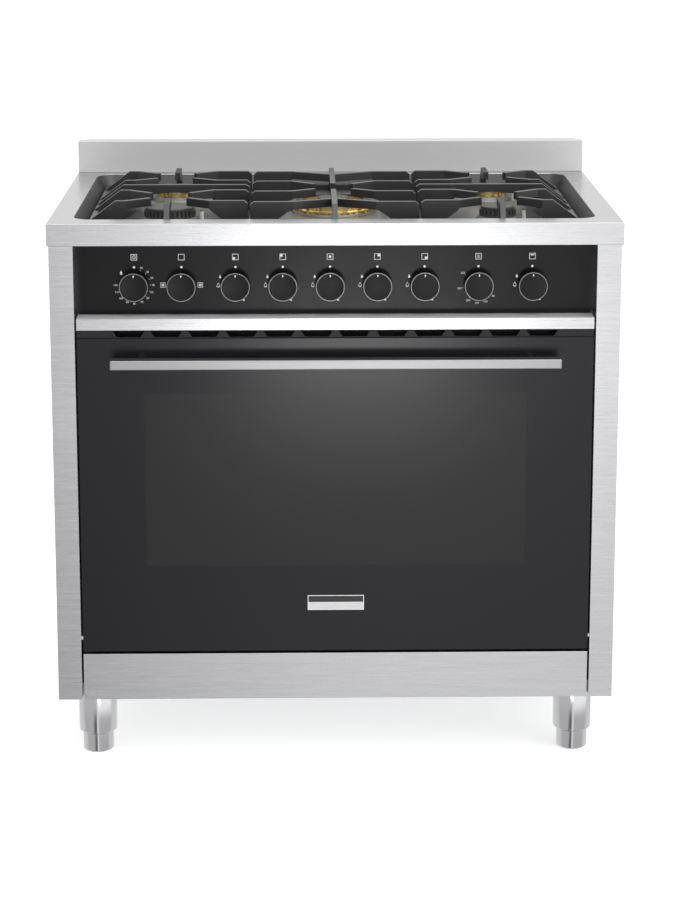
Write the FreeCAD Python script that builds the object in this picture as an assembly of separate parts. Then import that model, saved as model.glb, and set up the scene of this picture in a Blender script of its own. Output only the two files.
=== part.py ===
"""Freestanding gas range, 900 mm wide, with five burners and one oven.

Millimetres, +Z up. The front faces -Y. The origin is on the floor, under the middle of the
whole object. Each real piece is written as one node, parts/NODE.step.
"""

import FreeCAD, Part

import math
import os

Vector = FreeCAD.Vector

# ---------------------------------------------------------------- driving dimensions
# Overall
WIDTH = 900.0            # cooktop, side to side
DEPTH = 600.0            # cooktop, front to back
HANDLE_REACH = 44.0      # handle ahead of the cooktop's front edge
LEG_HEIGHT = 100.0
DRAWER_HEIGHT = 77.0
DOOR_GAP = 4.0           # between the drawer front and the door glass
GLASS_HEIGHT = 515.0
VENT_HEIGHT = 13.0
TRIM_HEIGHT = 18.0
PANEL_GAP = 2.0          # between the door trim and the control panel
PANEL_HEIGHT = 114.0
BAND_HEIGHT = 35.0
GUARD_HEIGHT = 55.0
GUARD_DEPTH = 40.0
GUARD_CHAMFER = 18.0

# Sheet thicknesses
SHEET = 1.0
BASE_SHEET = 1.5
FRAME_SHEET = 2.0
TOP_SHEET = 1.5
LINER_SHEET = 2.0

# Body
BODY_INSET = 3.0         # side panel inside the cooktop's edge
FACE_INSET = 1.5         # pillars, door and drawer behind the cooktop's front edge
REAR_INSET = 22.0        # rear panel inside the cooktop's rear edge
PILLAR_WIDTH = 38.0
SIDE_GAP = 3.0           # door or drawer to pillar
PANEL_SETBACK = 37.0     # control panel behind the door's face

# Door
GLASS_THICK = 5.0
DOOR_DEPTH = 37.0
FRAME_GAP = 4.0          # door's rear face to the oven front frame
FRAME_WALL = 1.5
FRAME_SIDE_INSET = 2.0   # inner frame inside the glass's edge
TRIM_SHEET = 1.2
VENT_SETBACK = 3.0
VENT_COUNT = 12
VENT_PITCH = 59.0
VENT_TOP_WIDTH = 51.0
VENT_BOTTOM_WIDTH = 37.0
VENT_OPENING = 10.0
WINDOW_WIDTH = 579.0
WINDOW_HEIGHT = 259.0
WINDOW_CENTRE = 466.0    # above the floor
WINDOW_MARGIN = 12.0
INNER_GLASS_THICK = 4.0
INNER_GLASS_LAP = 15.0
PIVOT_BEHIND = 10.0      # hinge axis behind the door's face
PIVOT_ABOVE = 20.0       # and above the door's lower edge
PIVOT_TO_FRAME = 8.0     # inner frame starts this far under the axis
PIN_RADIUS = 4.0
PIN_ENGAGED = 8.0
RUNNING = 0.05           # radial clearance of a shaft in its bore
BUSH_RADIUS = 9.0
BUSH_LENGTH = 8.0
SEAL_WIDTH = 12.0
SEAL_CLEARANCE = 0.3
SEAL_MARGIN = 6.0

# Handle and badge
HANDLE_LENGTH = 702.0
HANDLE_THICK = 22.0
HANDLE_HEIGHT = 15.0
HANDLE_DROP = 215.5      # handle's middle under the cooktop plane
POST_RADIUS = 6.0
POST_INSET = 45.0
BADGE_WIDTH = 90.0
BADGE_HEIGHT = 24.5
BADGE_THICK = 1.2
BADGE_Z = 262.0

# Drawer
DRAWER_FRONT_DEPTH = 15.0
DRAWER_LAP = 4.0
TRAY_HALF = 382.0
TRAY_LENGTH = 430.0
TRAY_WALL = 2.0
TRAY_HEIGHT = 52.0
TRAY_LIFT = 6.0
RUNNER_HEIGHT = 20.0
RUNNER_CLEARANCE = 0.5

# Oven
CAVITY_WIDTH = 640.0
CAVITY_HEIGHT = 380.0
CAVITY_DEPTH = 420.0
INSULATION = 25.0
SHELF_BAR = 7.0
SHELF_WIRE = 4.0
SHELF_WIRES = 19
SHELF_CLEARANCE = 3.0
SHELF_LEVEL = 170.0      # shelf above the cavity's floor
RAIL_WIRE = 6.0
RAIL_LEVELS = 4
RAIL_PITCH = 85.0
RAIL_DEPTH = 12.0
OVEN_BURNER_RADIUS = 9.0
OVEN_BURNER_LENGTH = 330.0
GRILL_TUBE = 12.0
GRILL_WIDTH = 320.0
GRILL_DEPTH = 280.0

# Controls
KNOB_STEPS = (74.5, 85.0, 74.5, 74.5, 74.5, 74.5, 85.0, 85.0)
KNOB_ROW_OFFSET = -3.0
KNOB_DROP = 104.0        # knob centres under the cooktop plane
KNOB_RADIUS = 22.8
KNOB_BASE_RADIUS = 19.5
KNOB_LENGTH = 18.0
KNOB_GAP = 4.5           # knob to panel, more than the push travel
KNOB_RING = 3.0
BORE_DEPTH = 15.0
PUSH_TRAVEL = 3.5
SPINDLE_RADIUS = 4.0
SPINDLE_FLAT = 1.2
SPINDLE_IN_KNOB = 11.0
SPINDLE_IN_TAP = 24.0
PANEL_SHEET = 1.5
PANEL_RETURN = 20.0
PANEL_HOLE_RADIUS = 5.5
TAP_WIDTH = 28.0
TAP_DEPTH = 42.0
TAP_HEIGHT = 28.0
SWITCH_WIDTH = 48.0
SWITCH_DEPTH = 40.0
SWITCH_HEIGHT = 44.0
MANIFOLD_SIZE = 18.0
MANIFOLD_GAP = 2.0       # behind the control panel's return
INLET_X = 372.0
INLET_RADIUS = 10.48     # G 1/2 thread's outer radius
INLET_LENGTH = 18.0
INLET_STANDOFF = 2.0     # thread's start behind the rear panel
INLET_HOLE_RADIUS = 12.5
PIPE_SIZE = 14.0

# Rear
SLOT_LENGTH = 70.0
SLOT_WIDTH = 5.0
SLOT_ROWS = 8
SLOT_PITCH = 14.0
ANTI_TIP_SPACING = 600.0
ANTI_TIP_RADIUS = 3.5
ANTI_TIP_DROP = 98.0     # screw holes under the cooktop plane
TERMINAL_SIZE = (90.0, 26.0, 70.0)
TERMINAL_INSET = 90.0    # terminal box from the side panel and from the base
GLAND_RADIUS = 11.0
GLAND_BORE = 5.0
GLAND_LENGTH = 8.0
GLAND_CLEARANCE = 0.2

# Feet
FOOT_INSET = 59.0        # foot centre inside the side panel
FOOT_FRONT = 45.0        # foot centre behind the door's face
FOOT_REAR = 60.0         # foot centre ahead of the rear panel
SLEEVE_RADIUS = 31.0
SLEEVE_HEIGHT = 67.0
SLEEVE_TOP = 4.0
FOOT_RADIUS = 25.0
FOOT_LENGTH = 78.0
FOOT_WALL = 4.0
FOOT_CHAMFER = 3.0

# Hob
WELL_SIDE = 37.0         # cooktop edge to the well's upper edge
WELL_FRONT = 45.0
WELL_REAR = 65.0
WELL_DEPTH = 25.0
WELL_SLOPE = 16.0
WELL_CORNER = 28.0
LIP = 16.0               # inward flange under the cooktop's rim

# Burners: distance from the cooktop's front edge, and radii of the brass crowns
SIDE_BURNER_X = 267.0
FRONT_BURNER = 182.0
REAR_BURNER = 401.0
CENTRE_BURNER = 277.0
RAPID_RADIUS = 42.0
SEMI_RADIUS = 33.0
SMALL_RADIUS = 30.0
WOK_RADIUS = 62.5
WOK_WALL = 15.0
WOK_INNER_RADIUS = 25.0
CUP_MARGIN = 9.0
CUP_HEIGHT = 8.0
CROWN_HEIGHT = 11.0
CAP_HEIGHT = 5.0
CAP_INSET = 2.5
ELECTRODE_RADIUS = 3.0
ELECTRODE_HEIGHT = 21.0
ELECTRODE_GAP = 5.0

# Pan supports
GRATE_RISE = 17.0        # above the cooktop plane
GRATE_GAP = 4.0
GRATE_SPLIT = 137.0      # middle of the gap between two pan supports
GRATE_SIDE_MARGIN = 2.0  # from the edge of the well's floor
BAR_THICK = 9.0
FINGER_HEIGHT = 13.0
ARM_HEIGHT = 17.0
RAIL_HEIGHT = 9.0
RAIL_CHAMFER = 12.0
SIDE_BARS = (126.0, 239.0, 298.0, 349.0, 454.0)
CENTRE_BARS = (113.0, 225.0, 336.0, 447.0)
LEG_WIDTH = 22.0
LEG_SLOPE = 34.0
OUTER_SLOPE = 44.0
CORNER_CUT = 6.0
BREAK_REACH = 66.0       # where a finger leaves its bar, from the burner's middle
TIP_REACH = 31.0
TIP_SPREAD = 26.0
PRONG_RISE = 26.0
CENTRE_DIP = 34.0

# ---------------------------------------------------------------- levels and planes
BODY_BOTTOM = LEG_HEIGHT
DRAWER_TOP = BODY_BOTTOM + DRAWER_HEIGHT
DOOR_BOTTOM = DRAWER_TOP + DOOR_GAP
GLASS_TOP = DOOR_BOTTOM + GLASS_HEIGHT
VENT_TOP = GLASS_TOP + VENT_HEIGHT
DOOR_TOP = VENT_TOP + TRIM_HEIGHT
PANEL_BOTTOM = DOOR_TOP + PANEL_GAP
BAND_BOTTOM = PANEL_BOTTOM + PANEL_HEIGHT
TOP = BAND_BOTTOM + BAND_HEIGHT
WELL_FLOOR = TOP - WELL_DEPTH
GRATE_TOP = TOP + GRATE_RISE
KNOB_Z = TOP - KNOB_DROP
HANDLE_Z = TOP - HANDLE_DROP
ANTI_TIP_Z = TOP - ANTI_TIP_DROP

FRONT = HANDLE_REACH - (DEPTH + HANDLE_REACH) / 2
REAR = FRONT + DEPTH
FACE = FRONT + FACE_INSET
BODY_REAR = REAR - REAR_INSET
DOOR_REAR = FACE + DOOR_DEPTH
FRAME_FRONT = DOOR_REAR + FRAME_GAP
FRAME_REAR = FRAME_FRONT + FRAME_SHEET
PANEL_FRONT = FACE + PANEL_SETBACK
PANEL_REAR = PANEL_FRONT + PANEL_SHEET
PIVOT_Y = FACE + PIVOT_BEHIND
PIVOT_Z = DOOR_BOTTOM + PIVOT_ABOVE

HALF = WIDTH / 2
BODY_HALF = HALF - BODY_INSET
PILLAR_INNER = BODY_HALF - PILLAR_WIDTH
DOOR_HALF = PILLAR_INNER - SIDE_GAP
FRAME_HALF = DOOR_HALF - FRAME_SIDE_INSET
CAVITY_BOTTOM = WINDOW_CENTRE - CAVITY_HEIGHT / 2
CAVITY_TOP = CAVITY_BOTTOM + CAVITY_HEIGHT
CAVITY_HALF = CAVITY_WIDTH / 2
CAVITY_REAR = FRAME_REAR + CAVITY_DEPTH
GLAND_X = TERMINAL_INSET + TERMINAL_SIZE[0] / 2 - BODY_HALF
GLAND_Z = TERMINAL_INSET + TERMINAL_SIZE[2] / 2 + BODY_BOTTOM
FLOOR_HALF = HALF - WELL_SIDE - WELL_SLOPE
FLOOR_FRONT = FRONT + WELL_FRONT + WELL_SLOPE
FLOOR_REAR = REAR - WELL_REAR - WELL_SLOPE


# ---------------------------------------------------------------- shared shapes
def box(x0, x1, y0, y1, z0, z1):
    """A block between two corners."""
    return Part.makeBox(x1 - x0, y1 - y0, z1 - z0, Vector(x0, y0, z0))


def rod(radius, start, axis, length):
    """A round bar from a start point along an axis."""
    return Part.makeCylinder(radius, length, Vector(*start), Vector(*axis))


def prism(points, sweep):
    """A flat outline, given by its corners, swept along a vector."""
    corners = [Vector(*point) for point in points]
    return Part.Face(Part.makePolygon(corners + corners[:1])).extrude(Vector(*sweep))


def turned(profile, centre, axis=(0, 0, 1)):
    """A closed (radius, height) profile turned once round an axis through the centre."""
    corners = [Vector(radius, 0, height) for radius, height in profile]
    solid = Part.Face(Part.makePolygon(corners + corners[:1])).revolve(
        Vector(0, 0, 0), Vector(0, 0, 1), 360
    )
    solid.Placement = FreeCAD.Placement(
        Vector(*centre), FreeCAD.Rotation(Vector(0, 0, 1), Vector(*axis))
    )
    return solid


def rounded_wire(half, front, rear, z, radius):
    """A rectangle's outline with round corners, level at z."""
    diagonal = radius * (1 - math.sqrt(0.5))
    edges = []
    x = half - radius
    y = (front + radius, rear - radius)
    edges.append(Part.LineSegment(Vector(-x, front, z), Vector(x, front, z)))
    edges.append(
        Part.Arc(Vector(x, front, z), Vector(half - diagonal, front + diagonal, z), Vector(half, y[0], z))
    )
    edges.append(Part.LineSegment(Vector(half, y[0], z), Vector(half, y[1], z)))
    edges.append(
        Part.Arc(Vector(half, y[1], z), Vector(half - diagonal, rear - diagonal, z), Vector(x, rear, z))
    )
    edges.append(Part.LineSegment(Vector(x, rear, z), Vector(-x, rear, z)))
    edges.append(
        Part.Arc(Vector(-x, rear, z), Vector(diagonal - half, rear - diagonal, z), Vector(-half, y[1], z))
    )
    edges.append(Part.LineSegment(Vector(-half, y[1], z), Vector(-half, y[0], z)))
    edges.append(
        Part.Arc(Vector(-half, y[0], z), Vector(diagonal - half, front + diagonal, z), Vector(-x, front, z))
    )
    return Part.Wire([edge.toShape() for edge in edges])


def mirrored(shape):
    """The same shape on the other side of the range."""
    return shape.mirror(Vector(0, 0, 0), Vector(1, 0, 0))


def joined(shapes):
    """One solid from shapes that overlap or touch."""
    return shapes[0].multiFuse(shapes[1:]).removeSplitter()


def save(node, *solids):
    """Write a node's solids to its own file."""
    shape = solids[0] if len(solids) == 1 else Part.makeCompound(list(solids))
    shape.exportStep("parts/" + node + ".step")


# ---------------------------------------------------------------- body
def side_panel():
    """Right side: outer wall, front pillar and the flange beside the door, with a hinge bush."""
    outline = [
        (PILLAR_INNER, FACE),
        (BODY_HALF, FACE),
        (BODY_HALF, BODY_REAR),
        (BODY_HALF - SHEET, BODY_REAR),
        (BODY_HALF - SHEET, FACE + SHEET),
        (PILLAR_INNER + SHEET, FACE + SHEET),
        (PILLAR_INNER + SHEET, FRAME_REAR),
        (PILLAR_INNER, FRAME_REAR),
    ]
    panel = prism([(x, y, BODY_BOTTOM) for x, y in outline], (0, 0, BAND_BOTTOM - BODY_BOTTOM))
    bush = rod(BUSH_RADIUS, (PILLAR_INNER + SHEET, PIVOT_Y, PIVOT_Z), (1, 0, 0), BUSH_LENGTH)
    bore = rod(
        PIN_RADIUS + RUNNING, (PILLAR_INNER, PIVOT_Y, PIVOT_Z), (1, 0, 0), SHEET + BUSH_LENGTH
    )
    base_room = box(
        PILLAR_INNER, BODY_HALF - SHEET, FACE + SHEET, BODY_REAR, BODY_BOTTOM, BODY_BOTTOM + BASE_SHEET
    )
    return panel.fuse(bush).removeSplitter().cut(bore).cut(base_room)


def rear_panel():
    """Flat back sheet with cooling slots, the gas inlet's hole and two anti-tip screw holes."""
    inner = BODY_HALF - SHEET
    panel = box(-inner, inner, BODY_REAR - SHEET, BODY_REAR, BODY_BOTTOM + BASE_SHEET, BAND_BOTTOM)
    front = BODY_REAR - SHEET
    holes = [
        rod(INLET_HOLE_RADIUS, (INLET_X, front, MANIFOLD_Z), (0, 1, 0), SHEET),
        rod(GLAND_RADIUS + GLAND_CLEARANCE, (GLAND_X, front, GLAND_Z), (0, 1, 0), SHEET),
    ]
    for side in (-1, 1):
        x = side * ANTI_TIP_SPACING / 2
        holes.append(rod(ANTI_TIP_RADIUS, (x, front, ANTI_TIP_Z), (0, 1, 0), SHEET))
    for row in range(SLOT_ROWS):
        z = CAVITY_TOP - row * SLOT_PITCH
        for column in (-1, 0, 1):
            x = column * 2 * SLOT_LENGTH
            holes.append(
                box(x - SLOT_LENGTH / 2, x + SLOT_LENGTH / 2, front, BODY_REAR, z, z + SLOT_WIDTH)
            )
    return panel.cut(Part.makeCompound(holes))


def base_pan():
    """Flat bottom sheet behind the drawer front."""
    inner = BODY_HALF - SHEET
    front = FACE + DRAWER_FRONT_DEPTH + DRAWER_LAP
    return box(-inner, inner, front, BODY_REAR, BODY_BOTTOM, BODY_BOTTOM + BASE_SHEET)


def oven_front_frame():
    """Plate round the oven mouth, with a floor behind it that roofs the drawer."""
    bottom = DOOR_BOTTOM
    plate = box(-PILLAR_INNER, PILLAR_INNER, FRAME_FRONT, FRAME_REAR, bottom, PANEL_BOTTOM)
    mouth = box(-CAVITY_HALF, CAVITY_HALF, FRAME_FRONT, FRAME_REAR, CAVITY_BOTTOM, CAVITY_TOP)
    floor = box(
        -PILLAR_INNER, PILLAR_INNER, FRAME_REAR, BODY_REAR - SHEET, bottom, bottom + FRAME_SHEET
    )
    return plate.cut(mouth).fuse(floor).removeSplitter()


def terminal_box():
    """Closed box inside the back for the mains terminals, with a cable gland through the panel."""
    width, depth, height = TERMINAL_SIZE
    rear = BODY_REAR - SHEET
    x = GLAND_X - width / 2
    z = GLAND_Z - height / 2
    case = box(x, x + width, rear - depth, rear, z, z + height)
    reach = depth / 2 + SHEET + GLAND_LENGTH
    gland = rod(GLAND_RADIUS, (GLAND_X, rear - depth / 2, GLAND_Z), (0, 1, 0), reach)
    bore = rod(GLAND_BORE, (GLAND_X, BODY_REAR, GLAND_Z), (0, 1, 0), GLAND_LENGTH)
    return case.fuse(gland).cut(bore)


# ---------------------------------------------------------------- cooktop and back guard
def cooktop():
    """Pressed tray: top with a sloped well, rim all round and a flange under the rim."""
    shell = box(-HALF, HALF, FRONT, REAR, BAND_BOTTOM, TOP)
    inside = box(
        -HALF + TOP_SHEET,
        HALF - TOP_SHEET,
        FRONT + TOP_SHEET,
        REAR - TOP_SHEET,
        BAND_BOTTOM + TOP_SHEET,
        TOP - TOP_SHEET,
    )
    front = PANEL_REAR + LIP
    rear = BODY_REAR - LIP
    mouth = box(-HALF + LIP, HALF - LIP, front, rear, BAND_BOTTOM, BAND_BOTTOM + TOP_SHEET)
    shell = shell.cut(inside).cut(mouth)

    def well(grow, low):
        """The well's inside, or its outside when grown by the sheet."""
        upper = rounded_wire(
            HALF - WELL_SIDE + grow,
            FRONT + WELL_FRONT - grow,
            REAR - WELL_REAR + grow,
            TOP,
            WELL_CORNER + grow,
        )
        lower = rounded_wire(
            FLOOR_HALF + grow, FLOOR_FRONT - grow, FLOOR_REAR + grow, low, WELL_CORNER - WELL_SLOPE / 2 + grow
        )
        return Part.makeLoft([upper, lower], True, True)

    inner = well(0, WELL_FLOOR)
    outer = well(TOP_SHEET, WELL_FLOOR - TOP_SHEET)
    return shell.fuse(outer).cut(inner).removeSplitter()


def back_guard():
    """Low upstand at the back, a folded sheet open underneath."""

    def outline(inset):
        """Plan outline, square in front and chamfered at the rear corners."""
        x = HALF - inset
        cut = GUARD_CHAMFER
        front = REAR - GUARD_DEPTH + inset
        rear = REAR - inset
        return [(-x, front), (x, front), (x, rear - cut), (x - cut, rear), (cut - x, rear), (-x, rear - cut)]

    outer = prism([(x, y, TOP) for x, y in outline(0)], (0, 0, GUARD_HEIGHT))
    inner = prism([(x, y, TOP) for x, y in outline(SHEET)], (0, 0, GUARD_HEIGHT - SHEET))
    return outer.cut(inner)


# ---------------------------------------------------------------- door
def door_trim():
    """Brushed cap along the door's top: front band, top plate and a strip with air openings."""
    pieces = [
        box(-DOOR_HALF, DOOR_HALF, FACE, FACE + TRIM_SHEET, VENT_TOP, DOOR_TOP),
        box(-DOOR_HALF, DOOR_HALF, FACE, DOOR_REAR, DOOR_TOP - TRIM_SHEET, DOOR_TOP),
        box(-DOOR_HALF, DOOR_HALF, FACE, FACE + GLASS_THICK, VENT_TOP, VENT_TOP + TRIM_SHEET),
    ]
    strip = box(
        -DOOR_HALF, DOOR_HALF, FACE + VENT_SETBACK, FACE + GLASS_THICK, GLASS_TOP, VENT_TOP
    )
    low = (GLASS_TOP + VENT_TOP - VENT_OPENING) / 2
    openings = []
    for index in range(VENT_COUNT):
        x = (index - (VENT_COUNT - 1) / 2) * VENT_PITCH
        corners = [
            (x - VENT_TOP_WIDTH / 2, FACE, low + VENT_OPENING),
            (x + VENT_TOP_WIDTH / 2, FACE, low + VENT_OPENING),
            (x + VENT_BOTTOM_WIDTH / 2, FACE, low),
            (x - VENT_BOTTOM_WIDTH / 2, FACE, low),
        ]
        openings.append(prism(corners, (0, GLASS_THICK, 0)))
    return joined(pieces + [strip.cut(Part.makeCompound(openings))])


def door_frame():
    """Pressed tray behind the glass, open in front, with the window's opening in its back."""
    front = FACE + GLASS_THICK
    bottom = PIVOT_Z - PIVOT_TO_FRAME
    top = DOOR_TOP - TRIM_SHEET
    tray = box(-FRAME_HALF, FRAME_HALF, front, DOOR_REAR, bottom, top)
    hollow = box(
        -FRAME_HALF + FRAME_WALL,
        FRAME_HALF - FRAME_WALL,
        front,
        DOOR_REAR - FRAME_WALL,
        bottom + FRAME_WALL,
        top - FRAME_WALL,
    )
    half = WINDOW_WIDTH / 2 + WINDOW_MARGIN
    tall = WINDOW_HEIGHT / 2 + WINDOW_MARGIN
    window = box(-half, half, DOOR_REAR - FRAME_WALL, DOOR_REAR, WINDOW_CENTRE - tall, WINDOW_CENTRE + tall)
    return tray.cut(hollow).cut(window)


def door_inner_glass():
    """Inner pane, held against the back of the door's tray."""
    half = WINDOW_WIDTH / 2 + WINDOW_MARGIN + INNER_GLASS_LAP
    tall = WINDOW_HEIGHT / 2 + WINDOW_MARGIN + INNER_GLASS_LAP
    rear = DOOR_REAR - FRAME_WALL
    return box(-half, half, rear - INNER_GLASS_THICK, rear, WINDOW_CENTRE - tall, WINDOW_CENTRE + tall)


def door_seal():
    """Flat gasket round the oven mouth, on the front frame."""
    inner = CAVITY_HALF + SEAL_MARGIN
    outer = inner + SEAL_WIDTH
    low = CAVITY_BOTTOM - SEAL_MARGIN
    high = CAVITY_TOP + SEAL_MARGIN
    front = DOOR_REAR + SEAL_CLEARANCE
    ring = box(-outer, outer, front, FRAME_FRONT, low - SEAL_WIDTH, high + SEAL_WIDTH)
    return ring.cut(box(-inner, inner, front, FRAME_FRONT, low, high))


def hinge_pins():
    """Two pins from the door's sides into the pillars' bushes."""
    length = PILLAR_INNER - FRAME_HALF + PIN_ENGAGED
    pin = rod(PIN_RADIUS, (FRAME_HALF, PIVOT_Y, PIVOT_Z), (1, 0, 0), length)
    return pin, mirrored(pin)


def handle():
    """Flat bar and its two round posts."""
    front = FRONT - HANDLE_REACH
    rear = front + HANDLE_THICK
    half = HANDLE_LENGTH / 2
    bar = box(-half, half, front, rear, HANDLE_Z - HANDLE_HEIGHT / 2, HANDLE_Z + HANDLE_HEIGHT / 2)
    post = rod(POST_RADIUS, (half - POST_INSET, rear, HANDLE_Z), (0, 1, 0), FACE - rear)
    return bar, (post, mirrored(post))


# ---------------------------------------------------------------- drawer
def drawer_front():
    """Steel panel under the door: a shallow tray open at the back."""
    rear = FACE + DRAWER_FRONT_DEPTH
    panel = box(-DOOR_HALF, DOOR_HALF, FACE, rear, BODY_BOTTOM, DRAWER_TOP)
    hollow = box(
        -DOOR_HALF + SHEET, DOOR_HALF - SHEET, FACE + SHEET, rear, BODY_BOTTOM + SHEET, DRAWER_TOP - SHEET
    )
    return panel.cut(hollow)


def drawer_tray():
    """Storage tray of five plates, fixed to the drawer front's inner face."""
    front = FACE + SHEET
    rear = front + TRAY_LENGTH
    low = BODY_BOTTOM + TRAY_LIFT
    high = low + TRAY_HEIGHT
    half = TRAY_HALF
    wall = TRAY_WALL
    return (
        box(-half, half, front, rear, low, low + wall),
        box(-half, -half + wall, front, rear, low + wall, high),
        box(half - wall, half, front, rear, low + wall, high),
        box(-half + wall, half - wall, rear - wall, rear, low + wall, high),
        box(-half + wall, half - wall, front, front + wall, low + wall, high),
    )


def drawer_runners():
    """A guide rail on each side, standing on the base and against the pillar flange."""
    low = BODY_BOTTOM + BASE_SHEET
    inner = TRAY_HALF + RUNNER_CLEARANCE
    front = FACE + DRAWER_FRONT_DEPTH + DRAWER_LAP
    rear = FACE + SHEET + TRAY_LENGTH
    rail = box(inner, PILLAR_INNER, front, rear, low, low + RUNNER_HEIGHT)
    return rail, mirrored(rail)


# ---------------------------------------------------------------- oven inside
def oven_liner():
    """Enamelled box of five plates, open at the oven mouth."""
    half = CAVITY_HALF
    wall = LINER_SHEET
    low = CAVITY_BOTTOM
    high = CAVITY_TOP
    return (
        box(-half - wall, half + wall, FRAME_REAR, CAVITY_REAR, low - wall, low),
        box(-half - wall, half + wall, FRAME_REAR, CAVITY_REAR, high, high + wall),
        box(-half - wall, -half, FRAME_REAR, CAVITY_REAR, low, high),
        box(half, half + wall, FRAME_REAR, CAVITY_REAR, low, high),
        box(-half - wall, half + wall, CAVITY_REAR, CAVITY_REAR + wall, low - wall, high + wall),
    )


def oven_insulation():
    """Mineral wool on the liner's sides, top and back."""
    half = CAVITY_HALF + LINER_SHEET
    low = CAVITY_BOTTOM - LINER_SHEET
    high = CAVITY_TOP + LINER_SHEET
    rear = CAVITY_REAR + LINER_SHEET
    return (
        box(-half - INSULATION, -half, FRAME_REAR, rear, low, high),
        box(half, half + INSULATION, FRAME_REAR, rear, low, high),
        box(-half - INSULATION, half + INSULATION, FRAME_REAR, rear, high, high + INSULATION),
        box(-half, half, rear, rear + INSULATION, low, high),
    )


def shelf_rails():
    """A wire ladder on each side wall that carries the shelf."""
    wires = []
    outer = CAVITY_HALF - RAIL_WIRE
    front = FRAME_REAR + 2 * RAIL_WIRE
    rear = CAVITY_REAR - 2 * RAIL_WIRE
    base = CAVITY_BOTTOM + SHELF_LEVEL - RAIL_PITCH
    for level in range(RAIL_LEVELS):
        z = base + level * RAIL_PITCH
        inner = CAVITY_HALF - RAIL_WIRE - RAIL_DEPTH
        wires.append(box(inner, outer, front, rear, z - RAIL_WIRE, z))
    for y in (front, rear - RAIL_WIRE):
        wires.append(
            box(outer, CAVITY_HALF, y, y + RAIL_WIRE, base - RAIL_WIRE, base + (RAIL_LEVELS - 1) * RAIL_PITCH)
        )
    ladder = joined(wires)
    return ladder, mirrored(ladder)


def oven_shelf():
    """Wire shelf: four edge bars with cross wires on them, lying on the second rails."""
    half = CAVITY_HALF - RAIL_WIRE - SHELF_CLEARANCE
    front = FRAME_REAR + 4 * RAIL_WIRE
    rear = CAVITY_REAR - SHELF_CLEARANCE
    low = CAVITY_BOTTOM + SHELF_LEVEL
    high = low + SHELF_BAR
    bar = SHELF_BAR
    solids = [
        box(-half, half, front, front + bar, low, high),
        box(-half, half, rear - bar, rear, low, high),
        box(-half, -half + bar, front + bar, rear - bar, low, high),
        box(half - bar, half, front + bar, rear - bar, low, high),
    ]
    spacing = 2 * half / (SHELF_WIRES + 1)
    for index in range(SHELF_WIRES):
        x = -half + (index + 1) * spacing
        solids.append(box(x - SHELF_WIRE / 2, x + SHELF_WIRE / 2, front, rear, high, high + SHELF_WIRE))
    return solids


def oven_burner():
    """Tube burner under the oven floor, hung on a bracket at each end."""
    z = CAVITY_BOTTOM - LINER_SHEET - 2 * OVEN_BURNER_RADIUS - OVEN_BURNER_RADIUS
    front = FRAME_REAR + 30
    tube = rod(OVEN_BURNER_RADIUS, (0, front, z), (0, 1, 0), OVEN_BURNER_LENGTH)
    solids = [tube]
    for y in (front, front + OVEN_BURNER_LENGTH - FRAME_SHEET):
        solids.append(
            box(-OVEN_BURNER_RADIUS, OVEN_BURNER_RADIUS, y, y + FRAME_SHEET, z, CAVITY_BOTTOM - LINER_SHEET)
        )
    return joined(solids)


def grill_burner():
    """Grill tube, a loop of square tube under the oven roof on two hangers."""
    front = FRAME_REAR + (CAVITY_DEPTH - GRILL_DEPTH) / 2
    rear = front + GRILL_DEPTH
    half = GRILL_WIDTH / 2
    size = GRILL_TUBE
    high = CAVITY_TOP - size
    low = high - size
    loop = box(-half, half, front, rear, low, high).cut(
        box(-half + size, half - size, front + size, rear - size, low, high)
    )
    hangers = [box(-size, size, y, y + FRAME_SHEET, high, CAVITY_TOP) for y in (front, rear - FRAME_SHEET)]
    return joined([loop] + hangers)


# ---------------------------------------------------------------- controls and gas
def knob_positions():
    """Knob centres from left to right."""
    x = KNOB_ROW_OFFSET - sum(KNOB_STEPS) / 2
    places = [x]
    for step in KNOB_STEPS:
        x += step
        places.append(x)
    return places


KNOBS = knob_positions()
SWITCHES = KNOBS[:2]
GAS_KNOBS = KNOBS[2:]
MANIFOLD_Z = KNOB_Z - TAP_HEIGHT / 2 - MANIFOLD_SIZE / 2


def control_panel():
    """Glass-black sheet with a hole for each spindle and a return along its lower edge."""
    half = PILLAR_INNER
    face = box(-half, half, PANEL_FRONT, PANEL_REAR, PANEL_BOTTOM, BAND_BOTTOM)
    lip = box(-half, half, PANEL_REAR, PANEL_REAR + PANEL_RETURN, PANEL_BOTTOM, PANEL_BOTTOM + PANEL_SHEET)
    holes = [rod(PANEL_HOLE_RADIUS, (x, PANEL_FRONT, KNOB_Z), (0, 1, 0), PANEL_SHEET) for x in KNOBS]
    return face.fuse(lip).removeSplitter().cut(Part.makeCompound(holes))


def bored_block(x, width, depth, height):
    """A valve or switch body behind the panel, bored for its spindle."""
    low = KNOB_Z - height / 2
    block = box(x - width / 2, x + width / 2, PANEL_REAR, PANEL_REAR + depth, low, low + height)
    bore = rod(SPINDLE_RADIUS + RUNNING, (x, PANEL_REAR, KNOB_Z), (0, 1, 0), SPINDLE_IN_TAP + 1)
    return block.cut(bore)


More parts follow.
